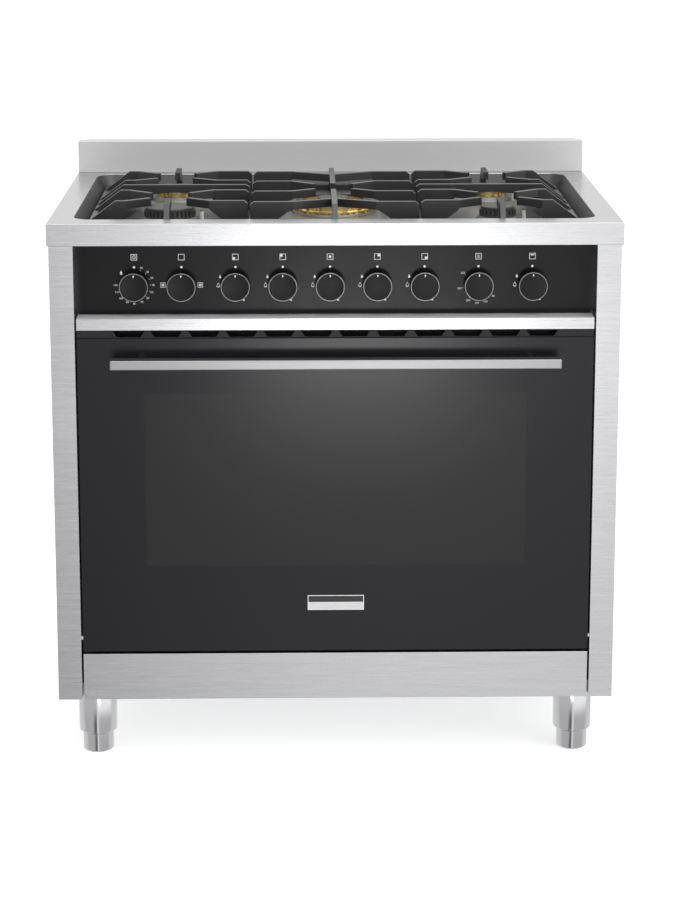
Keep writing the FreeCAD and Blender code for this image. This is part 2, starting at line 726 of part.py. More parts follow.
def gas_manifold():
    """Square rail under the taps, and the pipe from it to the threaded inlet at the back."""
    size = MANIFOLD_SIZE / 2
    front = PANEL_REAR + PANEL_RETURN + MANIFOLD_GAP
    rear = front + MANIFOLD_SIZE
    left = GAS_KNOBS[0] - TAP_WIDTH
    rail = box(left, INLET_X + size, front, rear, MANIFOLD_Z - size, MANIFOLD_Z + size)
    half = PIPE_SIZE / 2
    end = BODY_REAR + INLET_STANDOFF
    pipe = box(INLET_X - half, INLET_X + half, rear, end, MANIFOLD_Z - half, MANIFOLD_Z + half)
    inlet = rod(INLET_RADIUS, (INLET_X, end, MANIFOLD_Z), (0, 1, 0), INLET_LENGTH)
    return joined([rail, pipe, inlet])


def d_shaft(x, start, length, clearance):
    """A spindle's D-shaped end along +Y, or its bore when given a clearance."""
    radius = SPINDLE_RADIUS + clearance
    flat = KNOB_Z + SPINDLE_RADIUS - SPINDLE_FLAT + clearance
    shaft = rod(radius, (x, start, KNOB_Z), (0, 1, 0), length)
    return shaft.cut(box(x - radius, x + radius, start, start + length, flat, KNOB_Z + radius + 1))


def spindle(x):
    """Shaft from inside the valve to inside the knob."""
    front = PANEL_FRONT - KNOB_GAP - SPINDLE_IN_KNOB
    round_part = rod(
        SPINDLE_RADIUS, (x, PANEL_FRONT - KNOB_GAP + PUSH_TRAVEL, KNOB_Z), (0, 1, 0),
        KNOB_GAP - PUSH_TRAVEL + PANEL_SHEET + SPINDLE_IN_TAP,
    )
    return round_part.fuse(d_shaft(x, front, SPINDLE_IN_KNOB + PUSH_TRAVEL, 0))


def knob(x):
    """Turned knob, widest at its front ring, with a D-shaped bore."""
    rear = PANEL_FRONT - KNOB_GAP
    profile = [
        (0, 0),
        (KNOB_BASE_RADIUS, 0),
        (KNOB_RADIUS, KNOB_LENGTH - KNOB_RING),
        (KNOB_RADIUS, KNOB_LENGTH - 1),
        (KNOB_RADIUS - 1, KNOB_LENGTH),
        (0, KNOB_LENGTH),
    ]
    body = turned(profile, (x, rear, KNOB_Z), (0, -1, 0))
    return body.cut(d_shaft(x, rear - BORE_DEPTH, BORE_DEPTH, RUNNING))


# ---------------------------------------------------------------- feet
def foot_places():
    """Foot centres: front left, front right, rear left, rear right."""
    x = BODY_HALF - FOOT_INSET
    front = FACE + FOOT_FRONT
    rear = BODY_REAR - FOOT_REAR
    return [(-x, front), (x, front), (-x, rear), (x, rear)]


def foot_sleeve(x, y):
    """Fixed upper sleeve, bored from below."""
    bore = FOOT_RADIUS + RUNNING
    low = BODY_BOTTOM - SLEEVE_HEIGHT
    profile = [
        (bore, low),
        (SLEEVE_RADIUS - FOOT_CHAMFER, low),
        (SLEEVE_RADIUS, low + FOOT_CHAMFER),
        (SLEEVE_RADIUS, BODY_BOTTOM),
        (0, BODY_BOTTOM),
        (0, BODY_BOTTOM - SLEEVE_TOP),
        (bore, BODY_BOTTOM - SLEEVE_TOP),
    ]
    return turned(profile, (x, y, 0))


def foot(x, y):
    """Lower foot, a cup open at its top that slides down out of the sleeve."""
    profile = [
        (0, 0),
        (FOOT_RADIUS - FOOT_CHAMFER, 0),
        (FOOT_RADIUS, FOOT_CHAMFER),
        (FOOT_RADIUS, FOOT_LENGTH),
        (FOOT_RADIUS - FOOT_WALL, FOOT_LENGTH),
        (FOOT_RADIUS - FOOT_WALL, FOOT_WALL),
        (0, FOOT_WALL),
    ]
    return turned(profile, (x, y, 0))


# ---------------------------------------------------------------- burners
def burners():
    """Side burners as (x, y, crown radius)."""
    return [
        (-SIDE_BURNER_X, FRONT + FRONT_BURNER, RAPID_RADIUS),
        (-SIDE_BURNER_X, FRONT + REAR_BURNER, SEMI_RADIUS),
        (SIDE_BURNER_X, FRONT + FRONT_BURNER, SMALL_RADIUS),
        (SIDE_BURNER_X, FRONT + REAR_BURNER, SEMI_RADIUS),
    ]


def burner_parts():
    """Cups, crowns, caps and electrodes of all five burners."""
    cups = []
    crowns = []
    caps = []
    electrodes = []
    crown_low = WELL_FLOOR + CUP_HEIGHT
    cap_low = crown_low + CROWN_HEIGHT

    def add(x, y, radius):
        """One plain burner: cup, crown and cap."""
        outer = radius + CUP_MARGIN
        cups.append(turned([(0, 0), (outer, 0), (radius, CUP_HEIGHT), (0, CUP_HEIGHT)], (x, y, WELL_FLOOR)))
        crowns.append(rod(radius, (x, y, crown_low), (0, 0, 1), CROWN_HEIGHT))
        caps.append(rod(radius - CAP_INSET, (x, y, cap_low), (0, 0, 1), CAP_HEIGHT))

    def electrode(x, y):
        """A round ceramic post on the well's floor."""
        electrodes.append(rod(ELECTRODE_RADIUS, (x, y, WELL_FLOOR), (0, 0, 1), ELECTRODE_HEIGHT))

    for x, y, radius in burners():
        add(x, y, radius)
        reach = radius + CUP_MARGIN + ELECTRODE_GAP
        electrode(x + reach * math.cos(math.radians(20)), y - reach * math.sin(math.radians(20)))

    y = FRONT + CENTRE_BURNER
    inner = WOK_RADIUS - WOK_WALL
    outer = WOK_RADIUS + CUP_MARGIN
    cups.append(
        turned([(0, 0), (outer, 0), (WOK_RADIUS, CUP_HEIGHT), (0, CUP_HEIGHT)], (0, y, WELL_FLOOR))
    )
    ring = [(inner, 0), (WOK_RADIUS, 0), (WOK_RADIUS, CROWN_HEIGHT), (inner, CROWN_HEIGHT)]
    crowns.append(turned(ring, (0, y, crown_low)))
    crowns.append(rod(WOK_INNER_RADIUS, (0, y, crown_low), (0, 0, 1), CROWN_HEIGHT))
    lid = [
        (inner + CAP_INSET, 0),
        (WOK_RADIUS - CAP_INSET, 0),
        (WOK_RADIUS - CAP_INSET, CAP_HEIGHT / 2),
        (inner + CAP_INSET, CAP_HEIGHT / 2),
    ]
    caps.append(turned(lid, (0, y, cap_low)))
    caps.append(rod(WOK_INNER_RADIUS + 1, (0, y, cap_low), (0, 0, 1), CAP_HEIGHT))
    for side in (-1, 1):
        electrode(side * (outer + ELECTRODE_GAP), y)
    return cups, crowns, caps, electrodes


# ---------------------------------------------------------------- pan supports
def finger(x0, y0, x1, y1):
    """A level arm in plan from a bar to its tip by the burner."""
    length = math.hypot(x1 - x0, y1 - y0)
    nx = -(y1 - y0) / length * BAR_THICK / 2
    ny = (x1 - x0) / length * BAR_THICK / 2
    corners = [(x0 + nx, y0 + ny), (x1 + nx, y1 + ny), (x1 - nx, y1 - ny), (x0 - nx, y0 - ny)]
    return prism([(x, y, GRATE_TOP - FINGER_HEIGHT) for x, y in corners], (0, 0, FINGER_HEIGHT))


def arm(x_end, x_break, y, slope):
    """A straight bar along X from its leg to its break point, with an arched underside."""
    toward = 1 if x_break > x_end else -1
    low = WELL_FLOOR
    corners = [
        (x_end, low),
        (x_end, GRATE_TOP - slope * (GRATE_TOP - low - RAIL_HEIGHT) / max(slope, OUTER_SLOPE)),
        (x_end + toward * slope, GRATE_TOP),
        (x_break, GRATE_TOP),
        (x_break, GRATE_TOP - FINGER_HEIGHT),
        (x_end + toward * (LEG_WIDTH + LEG_SLOPE + slope / 2), GRATE_TOP - ARM_HEIGHT),
        (x_end + toward * (LEG_WIDTH + slope / 2), low),
    ]
    return prism([(x, y - BAR_THICK / 2, z) for x, z in corners], (0, BAR_THICK, 0))


def prong(x, y_end, y_tip):
    """A bar along Y from the front or rear rail to its tip by the burner."""
    toward = 1 if y_tip > y_end else -1
    corners = [
        (y_end, WELL_FLOOR),
        (y_end, WELL_FLOOR + RAIL_HEIGHT),
        (y_end + toward * PRONG_RISE, GRATE_TOP),
        (y_tip, GRATE_TOP),
        (y_tip, GRATE_TOP - FINGER_HEIGHT),
        (y_end + toward * (PRONG_RISE + LEG_WIDTH), GRATE_TOP - ARM_HEIGHT),
        (y_end + toward * LEG_WIDTH / 2, WELL_FLOOR),
    ]
    return prism([(x - BAR_THICK / 2, y, z) for y, z in corners], (BAR_THICK, 0, 0))


def rails(x0, x1):
    """The low ring, cut across its corners, that joins a pan support's legs on the well's floor."""
    front = FLOOR_FRONT + GRATE_SIDE_MARGIN
    rear = FLOOR_REAR - GRATE_SIDE_MARGIN
    low = WELL_FLOOR
    high = WELL_FLOOR + RAIL_HEIGHT
    cut = RAIL_CHAMFER
    outline = [
        (x0 + cut, front),
        (x1 - cut, front),
        (x1, front + cut),
        (x1, rear - cut),
        (x1 - cut, rear),
        (x0 + cut, rear),
        (x0, rear - cut),
        (x0, front + cut),
    ]
    ring = prism([(x, y, low) for x, y in outline], (0, 0, RAIL_HEIGHT))
    inside = box(x0 + BAR_THICK, x1 - BAR_THICK, front + BAR_THICK, rear - BAR_THICK, low, high)
    return [ring.cut(inside)]


def split_bar(x0, x1, slopes, x_burner, y_burner, y):
    """Two arms with fingers that bend towards a burner."""
    lean = 1 if y > y_burner else -1
    y_tip = y_burner + lean * TIP_SPREAD
    shapes = []
    for end, slope, side in ((x0, slopes[0], -1), (x1, slopes[1], 1)):
        x_break = x_burner + side * BREAK_REACH
        shapes.append(arm(end, x_break, y, slope))
        shapes.append(finger(x_break + side * BAR_THICK / 3, y, x_burner + side * TIP_REACH, y_tip))
    return shapes


def side_grate():
    """Right pan support, over the two right-hand burners."""
    x0 = GRATE_SPLIT + GRATE_GAP / 2
    x1 = FLOOR_HALF - GRATE_SIDE_MARGIN
    slopes = (CORNER_CUT, OUTER_SLOPE)
    front_burner = FRONT + FRONT_BURNER
    rear_burner = FRONT + REAR_BURNER
    shapes = rails(x0, x1)
    middle = len(SIDE_BARS) // 2
    for index, distance in enumerate(SIDE_BARS):
        y = FRONT + distance
        if index == middle:
            shapes.append(arm(x0, SIDE_BURNER_X, y, slopes[0]))
            shapes.append(arm(x1, SIDE_BURNER_X, y, slopes[1]))
        else:
            burner = front_burner if index < middle else rear_burner
            shapes += split_bar(x0, x1, slopes, SIDE_BURNER_X, burner, y)
    shapes.append(prong(SIDE_BURNER_X, FLOOR_FRONT + GRATE_SIDE_MARGIN, front_burner - TIP_REACH))
    shapes.append(prong(SIDE_BURNER_X, FLOOR_REAR - GRATE_SIDE_MARGIN, rear_burner + TIP_REACH))
    return joined(shapes)


def centre_grate():
    """Middle pan support, over the wok burner."""
    x1 = GRATE_SPLIT - GRATE_GAP / 2
    x0 = -x1
    slopes = (CORNER_CUT, CORNER_CUT)
    burner = FRONT + CENTRE_BURNER
    shapes = rails(x0, x1)
    for distance in CENTRE_BARS[1:-1]:
        shapes += split_bar(x0, x1, slopes, 0, burner, FRONT + distance)
    for distance, lean in ((CENTRE_BARS[0], 1), (CENTRE_BARS[-1], -1)):
        y = FRONT + distance
        for side in (-1, 1):
            shapes.append(arm(side * x1, side * BREAK_REACH, y, CORNER_CUT))
            shapes.append(finger(side * (BREAK_REACH + BAR_THICK / 3), y, 0, y + lean * CENTRE_DIP))
    shapes.append(prong(0, FLOOR_FRONT + GRATE_SIDE_MARGIN, burner - TIP_REACH))
    shapes.append(prong(0, FLOOR_REAR - GRATE_SIDE_MARGIN, burner + TIP_REACH))
    return joined(shapes)


# ---------------------------------------------------------------- write every node
def write_nodes():
    """Build and save all the pieces."""
    os.makedirs("parts", exist_ok=True)
    right_side = side_panel()
    save("side_panel_right", right_side)
    save("side_panel_left", mirrored(right_side))
    save("rear_panel", rear_panel())
    save("base_pan", base_pan())
    save("oven_front_frame", oven_front_frame())
    save("terminal_box", terminal_box())
    save("cooktop", cooktop())
    save("back_guard", back_guard())

    glass = box(-DOOR_HALF, DOOR_HALF, FACE, FACE + GLASS_THICK, DOOR_BOTTOM, GLASS_TOP)
    save("door_glass", glass)
    save("door_trim", door_trim())
    save("door_frame", door_frame())
    save("door_inner_glass", door_inner_glass())
    save("door_seal", door_seal())
    save("door_hinge_pins", *hinge_pins())
    bar, posts = handle()
    save("handle_bar", bar)
    save("handle_posts", *posts)
    half = BADGE_WIDTH / 2
    tall = BADGE_HEIGHT / 2
    save("door_badge", box(-half, half, FACE - BADGE_THICK, FACE, BADGE_Z - tall, BADGE_Z + tall))

    save("drawer_front", drawer_front())
    save("drawer_tray", *drawer_tray())
    save("drawer_runners", *drawer_runners())

    save("oven_liner", *oven_liner())
    save("oven_insulation", *oven_insulation())
    save("shelf_rails", *shelf_rails())
    save("oven_shelf", *oven_shelf())
    save("oven_burner", oven_burner())
    save("grill_burner", grill_burner())

    save("control_panel", control_panel())
    save("gas_manifold", gas_manifold())
    save("gas_taps", *[bored_block(x, TAP_WIDTH, TAP_DEPTH, TAP_HEIGHT) for x in GAS_KNOBS])
    save("switch_bodies", *[bored_block(x, SWITCH_WIDTH, SWITCH_DEPTH, SWITCH_HEIGHT) for x in SWITCHES])
    for index, x in enumerate(KNOBS, 1):
        save("knob_" + str(index), knob(x))
        save("spindle_" + str(index), spindle(x))

    places = foot_places()
    save("foot_sleeves", *[foot_sleeve(x, y) for x, y in places])
    for index, (x, y) in enumerate(places, 1):
        save("foot_" + str(index), foot(x, y))

    cups, crowns, caps, electrodes = burner_parts()
    save("burner_cups", *cups)
    save("burner_crowns", *crowns)
    save("burner_caps", *caps)
    save("spark_electrodes", *electrodes)

    right_grate = side_grate()
    save("grate_right", right_grate)
    save("grate_left", mirrored(right_grate))
    save("grate_centre", centre_grate())


write_nodes()
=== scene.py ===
import math

import bmesh
import bpy
from mathutils import Matrix, Vector


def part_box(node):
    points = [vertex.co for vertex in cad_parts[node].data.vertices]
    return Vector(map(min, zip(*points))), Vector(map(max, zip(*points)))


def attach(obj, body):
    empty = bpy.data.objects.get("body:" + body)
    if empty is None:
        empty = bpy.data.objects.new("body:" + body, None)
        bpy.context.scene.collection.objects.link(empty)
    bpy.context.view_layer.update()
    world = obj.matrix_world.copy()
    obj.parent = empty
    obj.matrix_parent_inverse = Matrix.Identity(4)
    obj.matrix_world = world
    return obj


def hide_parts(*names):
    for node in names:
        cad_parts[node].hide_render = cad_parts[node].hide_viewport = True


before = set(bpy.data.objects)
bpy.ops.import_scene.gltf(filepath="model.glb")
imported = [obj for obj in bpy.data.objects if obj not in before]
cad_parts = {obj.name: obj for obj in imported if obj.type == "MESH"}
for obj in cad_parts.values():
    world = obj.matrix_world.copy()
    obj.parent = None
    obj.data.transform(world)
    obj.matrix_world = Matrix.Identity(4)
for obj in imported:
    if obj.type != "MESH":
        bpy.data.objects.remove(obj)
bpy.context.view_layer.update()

# ------------------------------------------------------------------ studio
# Soft boxes in a plain pale room, with the camera in front, a little left of the middle and
# above the hob, as a catalogue picture is taken.
COOKTOP_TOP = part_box("cooktop")[1][2]
FRONT_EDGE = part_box("cooktop")[0][1]


def soft_box(name, place, aim, width, height, watts):
    """One rectangular lamp that faces a point."""
    lamp = bpy.data.lights.new(name, "AREA")
    lamp.shape = "RECTANGLE"
    lamp.size = width
    lamp.size_y = height
    lamp.energy = watts
    holder = bpy.data.objects.new(name, lamp)
    holder.location = place
    holder.rotation_mode = "QUATERNION"
    holder.rotation_quaternion = (Vector(aim) - Vector(place)).to_track_quat("-Z", "Y")
    bpy.context.collection.objects.link(holder)


soft_box("overhead_box", (0.4, -0.6, 3.2), (0, 0, 0.8), 2.6, 1.6, 34)
soft_box("right_box", (3.2, -2.2, 1.1), (0, -0.2, 0.5), 1.2, 2.0, 14)
soft_box("low_front_box", (0.1, -2.9, 0.13), (0.05, -0.3, 0.6), 0.55, 0.36, 6)

world = bpy.data.worlds.new("studio")
world.use_nodes = True
world_nodes = world.node_tree.nodes
world_links = world.node_tree.links
direction = world_nodes.new("ShaderNodeTexCoord")
parts = world_nodes.new("ShaderNodeSeparateXYZ")
world_links.new(direction.outputs["Generated"], parts.inputs[0])
BACKDROP = 1.05          # the room's brightness behind the range
LOW_FAR_LEFT = 0.75      # its brightness low down in front, from left to right
LOW_LEFT = 0.2
LOW_MIDDLE = 1.45
LOW_RIGHT = 0.75
HIGH_LEFT = 0.85         # and higher up in front
HIGH_RIGHT = 1.6


def level(axis, start, end, low, high):
    """A brightness that goes smoothly from one value to another along a direction."""
    made = world_nodes.new("ShaderNodeMapRange")
    made.interpolation_type = "SMOOTHSTEP"
    world_links.new(parts.outputs[axis], made.inputs["Value"])
    made.inputs["From Min"].default_value = start
    made.inputs["From Max"].default_value = end
    made.inputs["To Min"].default_value = low
    made.inputs["To Max"].default_value = high
    return made.outputs["Result"]


def between(factor, first, second):
    """The first brightness where the factor is 0, the second where it is 1."""
    made = world_nodes.new("ShaderNodeMix")
    for socket, value in (("Factor", factor), ("A", first), ("B", second)):
        if isinstance(value, float):
            made.inputs[socket].default_value = value
        else:
            world_links.new(value, made.inputs[socket])
    return made.outputs["Result"]


left_of_middle = level("X", -0.11, 0.0, LOW_LEFT, LOW_MIDDLE)
low_row = between(level("X", 0.02, 0.16, 0, 1), left_of_middle, LOW_RIGHT)
low_row = between(level("X", -0.42, -0.26, 0, 1), LOW_FAR_LEFT, low_row)
high_row = level("X", -0.2, 0.2, HIGH_LEFT, HIGH_RIGHT)
room = between(level("Z", -0.4, -0.14, 0, 1), low_row, high_row)
brightness = between(level("Y", -0.2, 0.15, 0, 1), room, BACKDROP)
world_nodes["Background"].inputs["Color"].default_value = (1.0, 1.0, 1.0, 1.0)
world_links.new(brightness, world_nodes["Background"].inputs["Strength"])
bpy.context.scene.world = world
bpy.context.scene.view_settings.view_transform = "Standard"

CAMERA_AHEAD = 3.583     # of the cooktop's front edge
CAMERA_ABOVE = 0.601     # the cooktop
CAMERA_LEFT = 0.0546     # of the range's middle
CAMERA_PITCH = 11.1      # degrees down
CAMERA_YAW = 0.98        # degrees to the right
camera_data = bpy.data.cameras.new("camera")
camera_data.lens = 93.56
camera_data.shift_y = -0.18
camera = bpy.data.objects.new("camera", camera_data)
camera.location = (-CAMERA_LEFT, FRONT_EDGE - CAMERA_AHEAD, COOKTOP_TOP + CAMERA_ABOVE)
camera.rotation_euler = (math.radians(90 - CAMERA_PITCH), 0, math.radians(-CAMERA_YAW))
bpy.context.collection.objects.link(camera)
bpy.context.scene.camera = camera


# ------------------------------------------------------------------ sheet-metal body
# Side panels with their front pillars are folded stainless sheet with a horizontal brushed
# grain; the back and the base are zinc-coated sheet. The folds have small outer radii.
class Value:
    """A shader socket on which arithmetic adds Math nodes."""

    def __init__(self, finish, socket):
        self.finish = finish
        self.socket = socket

    def maths(self, operation, first, second):
        """One Math node on two values or numbers."""
        return self.finish.add("ShaderNodeMath", {"operation": operation}, {0: first, 1: second})

    def __add__(self, other):
        return self.maths("ADD", self, other)

    def __sub__(self, other):
        return self.maths("SUBTRACT", self, other)

    def __rsub__(self, other):
        return self.maths("SUBTRACT", other, self)

    def __mul__(self, other):
        return self.maths("MULTIPLY", self, other)

    def over(self, limit):
        """1 where the value is above the limit, otherwise 0."""
        return self.maths("GREATER_THAN", self, limit)

    __radd__ = __add__
    __rmul__ = __mul__


class Finish:
    """One procedural material, read from the object's own coordinates."""

    def __init__(self, name, colour, roughness, metallic=0.0, **more):
        self.material = bpy.data.materials.new(name)
        self.material.use_nodes = True
        self.tree = self.material.node_tree
        self.shader = self.tree.nodes["Principled BSDF"]
        self.material.diffuse_color = (*colour, 1)
        self.set("Base Color", (*colour, 1))
        self.set("Roughness", roughness)
        self.set("Metallic", metallic)
        for socket, value in more.items():
            self.set(socket.replace("_", " "), value)

    def set(self, socket, value):
        """Feed one of the shader's sockets."""
        self.join(self.shader.inputs[socket], value)

    def join(self, socket, value):
        """Link a value to a socket, or set a number or a colour on it."""
        if isinstance(value, Value):
            self.tree.links.new(value.socket, socket)
        else:
            socket.default_value = value

    def add(self, kind, settings=(), sockets=(), output=0):
        """Any node: its settings first, then its sockets' values or links."""
        node = self.tree.nodes.new(kind)
        for key, value in dict(settings).items():
            if key == "stops":
                ramp = node.color_ramp.elements
                while len(ramp) < len(value):
                    ramp.new(0.5)
                for element, (position, colour) in zip(ramp, value):
                    element.position = position
                    element.color = (*colour, 1)
            else:
                setattr(node, key, value)
        for key, value in dict(sockets).items():
            self.join(node.inputs[key], value)
        return Value(self, node.outputs[output])

    def place(self, scale=(1, 1, 1)):
        """Object coordinates, scaled per axis."""
        where = self.add("ShaderNodeTexCoord", output="Object")
        return self.add("ShaderNodeMapping", {}, {"Vector": where, "Scale": scale})

    def coordinate(self, axis):
        """One of the object coordinates, as a value in metres."""
        return self.add("ShaderNodeSeparateXYZ", {}, {0: self.place()}, output=axis)

    def noise(self, scale, detail=2.0, stretch=(1, 1, 1)):
        """Noise from 0 to 1, with scale in features per metre."""
        sockets = {"Vector": self.place(stretch), "Scale": scale, "Detail": detail}
        return self.add("ShaderNodeTexNoise", {}, sockets)

    def blend(self, factor, first, second):
        """One colour where the factor is 0, the other where it is 1."""
        sockets = {0: factor, 6: (*first, 1), 7: (*second, 1)}
        return self.add("ShaderNodeMix", {"data_type": "RGBA"}, sockets, output=2)

    def ramp(self, factor, *stops):
        """Colour stops along a value."""
        return self.add("ShaderNodeValToRGB", {"stops": stops}, {0: factor})

    def bump(self, height, distance, strength):
        """Fine relief, with distance in metres."""
        sockets = {"Height": height, "Distance": distance, "Strength": strength}
        self.set("Normal", self.add("ShaderNodeBump", {}, sockets))


def brushed(
    name, stretch, light=(0.56, 0.56, 0.573), dark=(0.43, 0.43, 0.442), roughness=0.27, metallic=1.0
):
    """Stainless sheet brushed one way: short streaks at two widths."""
    finish = Finish(name, light, roughness, metallic)
    fine = finish.noise(1.0, 3.0, tuple(s * 1500 if s else 30 for s in stretch))
    wide = finish.noise(1.0, 3.0, tuple(s * 500 if s else 9 for s in stretch))
    cloud = finish.noise(2.2, 2.0)
    streak = fine * 0.6 + wide * 0.4
    finish.set("Base Color", finish.ramp(streak * 0.85 + cloud * 0.15, (0.3, dark), (0.7, light)))
    finish.set("Roughness", streak * 0.16 + (roughness - 0.1) + cloud * 0.04)
    finish.bump(streak, 0.00002, 0.4)
    return finish.material


def zinc_sheet():
    """Zinc-coated sheet with its faint crystal pattern."""
    finish = Finish("zinc_sheet", (0.55, 0.56, 0.57), 0.45, 0.85)
    sockets = {"Vector": finish.place(), "Scale": 190.0}
    spangle = finish.add("ShaderNodeTexVoronoi", {"feature": "F1"}, sockets, output="Color")
    grey = finish.add("ShaderNodeSeparateColor", {}, {0: spangle})
    finish.set("Base Color", finish.ramp(grey, (0.0, (0.47, 0.48, 0.49)), (1.0, (0.51, 0.52, 0.53))))
    finish.set("Roughness", grey * 0.15 + 0.36)
    finish.bump(finish.noise(60.0), 0.0002, 0.3)
    return finish.material


ROUNDED_FROM = math.radians(30)      # a sharper fold than this gets its edge rounded
CREASED_FROM = math.radians(35)      # and one sharper than this is shaded with a crease
COPLANAR = math.radians(0.5)
WELD = 0.00001


def round_edges(shape, edges, radius, segments):
    """Round the given edges of a mesh."""
    bmesh.ops.bevel(
        shape, geom=edges, offset=radius, offset_type="OFFSET", segments=segments, profile=0.5,
        affect="EDGES", clamp_overlap=True, material=-1,
    )


def softened(name, node, radius, material, body, segments=2, smooth=False):
    """A CAD node's shape as one welded mesh with its sharp edges rounded."""
    shape = bmesh.new()
    shape.from_mesh(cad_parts[node].data)
    bmesh.ops.remove_doubles(shape, verts=shape.verts, dist=WELD)
    bmesh.ops.dissolve_limit(shape, angle_limit=COPLANAR, verts=shape.verts, edges=shape.edges)
    hard = [edge for edge in shape.edges if edge.is_manifold and edge.calc_face_angle() > ROUNDED_FROM]
    round_edges(shape, hard, radius, segments)
    piece = finished(name, shape, [material], body, smooth)
    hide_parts(node)
    return piece


def finished(name, shape, materials, body, smooth):
    """Turn a bmesh into a piece that rides on a body."""
    for face in shape.faces:
        face.smooth = smooth
    for edge in shape.edges:
        if edge.is_manifold:
            edge.smooth = edge.calc_face_angle() < CREASED_FROM
    mesh = bpy.data.meshes.new(name)
    shape.to_mesh(mesh)
    shape.free()
    for material in materials:
        mesh.materials.append(material)
    piece = bpy.data.objects.new(name, mesh)
    bpy.context.collection.objects.link(piece)
    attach(piece, body)
    return piece


def dress(node, material):
    """Give a CAD node that is kept as it is its material."""
    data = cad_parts[node].data
    data.materials.clear()
    data.materials.append(material)


steel_front = brushed("brushed_front", (0, 1, 1))
steel_side = brushed("brushed_side", (1, 0, 1))
zinc = zinc_sheet()
for side in ("left", "right"):
    wall = softened("side_sheet_" + side, "side_panel_" + side, 0.0006, steel_front, "body")
    wall.data.materials.append(steel_side)
    for face in wall.data.polygons:
        face.material_index = 1 if abs(face.normal.x) > 0.7 else 0
for node in ("rear_panel", "base_pan"):
    dress(node, zinc)


# ------------------------------------------------------------------ studio floor
# The pale floor under the range. It only takes the range's soft shadow, and it stays out of the
# steel's reflections.
FLOOR_SIZE = 12
floor_finish = Finish("studio_floor", (0.75, 0.75, 0.75), 0.8, Emission_Strength=1.15)
pale = floor_finish.noise(1.5)
floor_finish.set("Base Color", floor_finish.blend(pale, (0.75, 0.75, 0.75), (0.77, 0.77, 0.77)))
floor_finish.set("Emission Color", floor_finish.blend(pale, (0.42, 0.42, 0.42), (0.43, 0.43, 0.43)))
floor_shape = bmesh.new()
bmesh.ops.create_grid(floor_shape, x_segments=1, y_segments=1, size=FLOOR_SIZE)
floor_mesh = bpy.data.meshes.new("floor")
floor_shape.to_mesh(floor_mesh)
floor_shape.free()
floor_mesh.materials.append(floor_finish.material)
floor = bpy.data.objects.new("floor", floor_mesh)
bpy.context.collection.objects.link(floor)
floor.visible_glossy = False


# ------------------------------------------------------------------ feet
# Four polished steel tubes, fixed under the base pan. Each has a lower foot that screws down
# out of it to level the range.
def polished(name, colour, roughness):
    """Drawn tube, polished round its axis, with faint turning lines."""
    finish = Finish(name, colour, roughness, 1.0)
    lines = finish.noise(1.0, 2.0, (20, 20, 1400))
    cloud = finish.noise(25.0, 3.0)
    finish.set("Roughness", lines * 0.12 + (roughness - 0.06) + cloud * 0.06)
    finish.bump(lines, 0.00002, 0.4)
    return finish.material


foot_steel = polished("polished_foot", (0.5, 0.5, 0.51), 0.13)
softened("foot_sleeve_tubes", "foot_sleeves", 0.0006, foot_steel, "body", smooth=True)
for index, where in enumerate(("front_left", "front_right", "rear_left", "rear_right"), 1):
    softened(
        "foot_end_" + where, "foot_%d" % index, 0.0006, foot_steel, "foot_" + where, smooth=True
    )


# ------------------------------------------------------------------ hob tray and back guard
# One stainless sheet, pressed with a sunken well and folded down round its edge. The well's floor is
# painted darker and its sloped border near-black, as painted shade and painted reflection of the black
# pan supports. A folded satin upstand is fixed along its back.
# The well's darker floor and near-black border are painted shade and painted reflection on the tray's
# steel.
well_painted_shade = brushed("well_satin_painted_shade", (0, 1, 1), (0.3, 0.3, 0.285), (0.22, 0.22, 0.21), 0.36)
well_wall_painted_shade = Finish("well_border_painted_shade", (0.045, 0.045, 0.045), 0.42, 0.6)
well_wall_painted_shade.bump(well_wall_painted_shade.noise(700.0), 0.00004, 0.5)
WELL_HALF = 0.413                                # from the middle to the rim on either side
WELL_FRONT = FRONT_EDGE + 0.043                  # where the front rim ends
BORDER_TOP = COOKTOP_TOP - 0.0008                # the border is all that lies below this
FLOOR_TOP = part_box("burner_cups")[0][2] + 0.001  # and above the well's floor
tray = softened("hob_tray", "cooktop", 0.0012, steel_front, "body", segments=3)
for material in (well_painted_shade, well_wall_painted_shade.material, steel_side):
    tray.data.materials.append(material)
for face in tray.data.polygons:
    inside = abs(face.center.x) < WELL_HALF and face.center.y > WELL_FRONT and face.normal.z > 0.1
    if abs(face.normal.x) > 0.9:
        face.material_index = 3
    # The well's floor and its sloped border take the painted-shade colours.
    elif inside and face.center.z < FLOOR_TOP:
        face.material_index = 1
    elif inside and face.center.z < BORDER_TOP:
        face.material_index = 2
guard_satin = brushed("guard_satin", (0, 1, 1), (0.55, 0.55, 0.55), (0.48, 0.48, 0.48), 0.55, 0.4)
guard = softened("rear_upstand", "back_guard", 0.0012, guard_satin, "body")


# ------------------------------------------------------------------ control panel
# Black sheet under the hob's front edge, with white symbols printed round each knob: a dot and
# a square sign above every one, flames beside the gas knobs, minutes round the timer, degrees
# round the oven knob.
def grained(name, colour, roughness, metallic=0.0, scale=40.0, relief=0.00002, **more):
    """A plain colour with faint mottling in its tone, gloss and surface."""
    finish = Finish(name, colour, roughness, metallic, **more)
    cloud = finish.noise(scale, 3.0)
    fine = finish.noise(scale * 14, 2.0)
    darker = tuple(part * 0.84 for part in colour)
    finish.set("Base Color", finish.blend(cloud, darker, colour))
    finish.set("Roughness", cloud * 0.1 + (roughness - 0.08) + fine * 0.06)
    finish.bump(fine, relief, 0.4)
    return finish.material


def block(shape, low, high, material=0):
    """A closed box added to a mesh, between two corners."""
    made = bmesh.ops.create_cube(shape, size=1)["verts"]
    for vert in made:
        for axis in range(3):
            vert.co[axis] = low[axis] if vert.co[axis] < 0 else high[axis]
    for face in {face for vert in made for face in vert.link_faces}:
        face.material_index = material


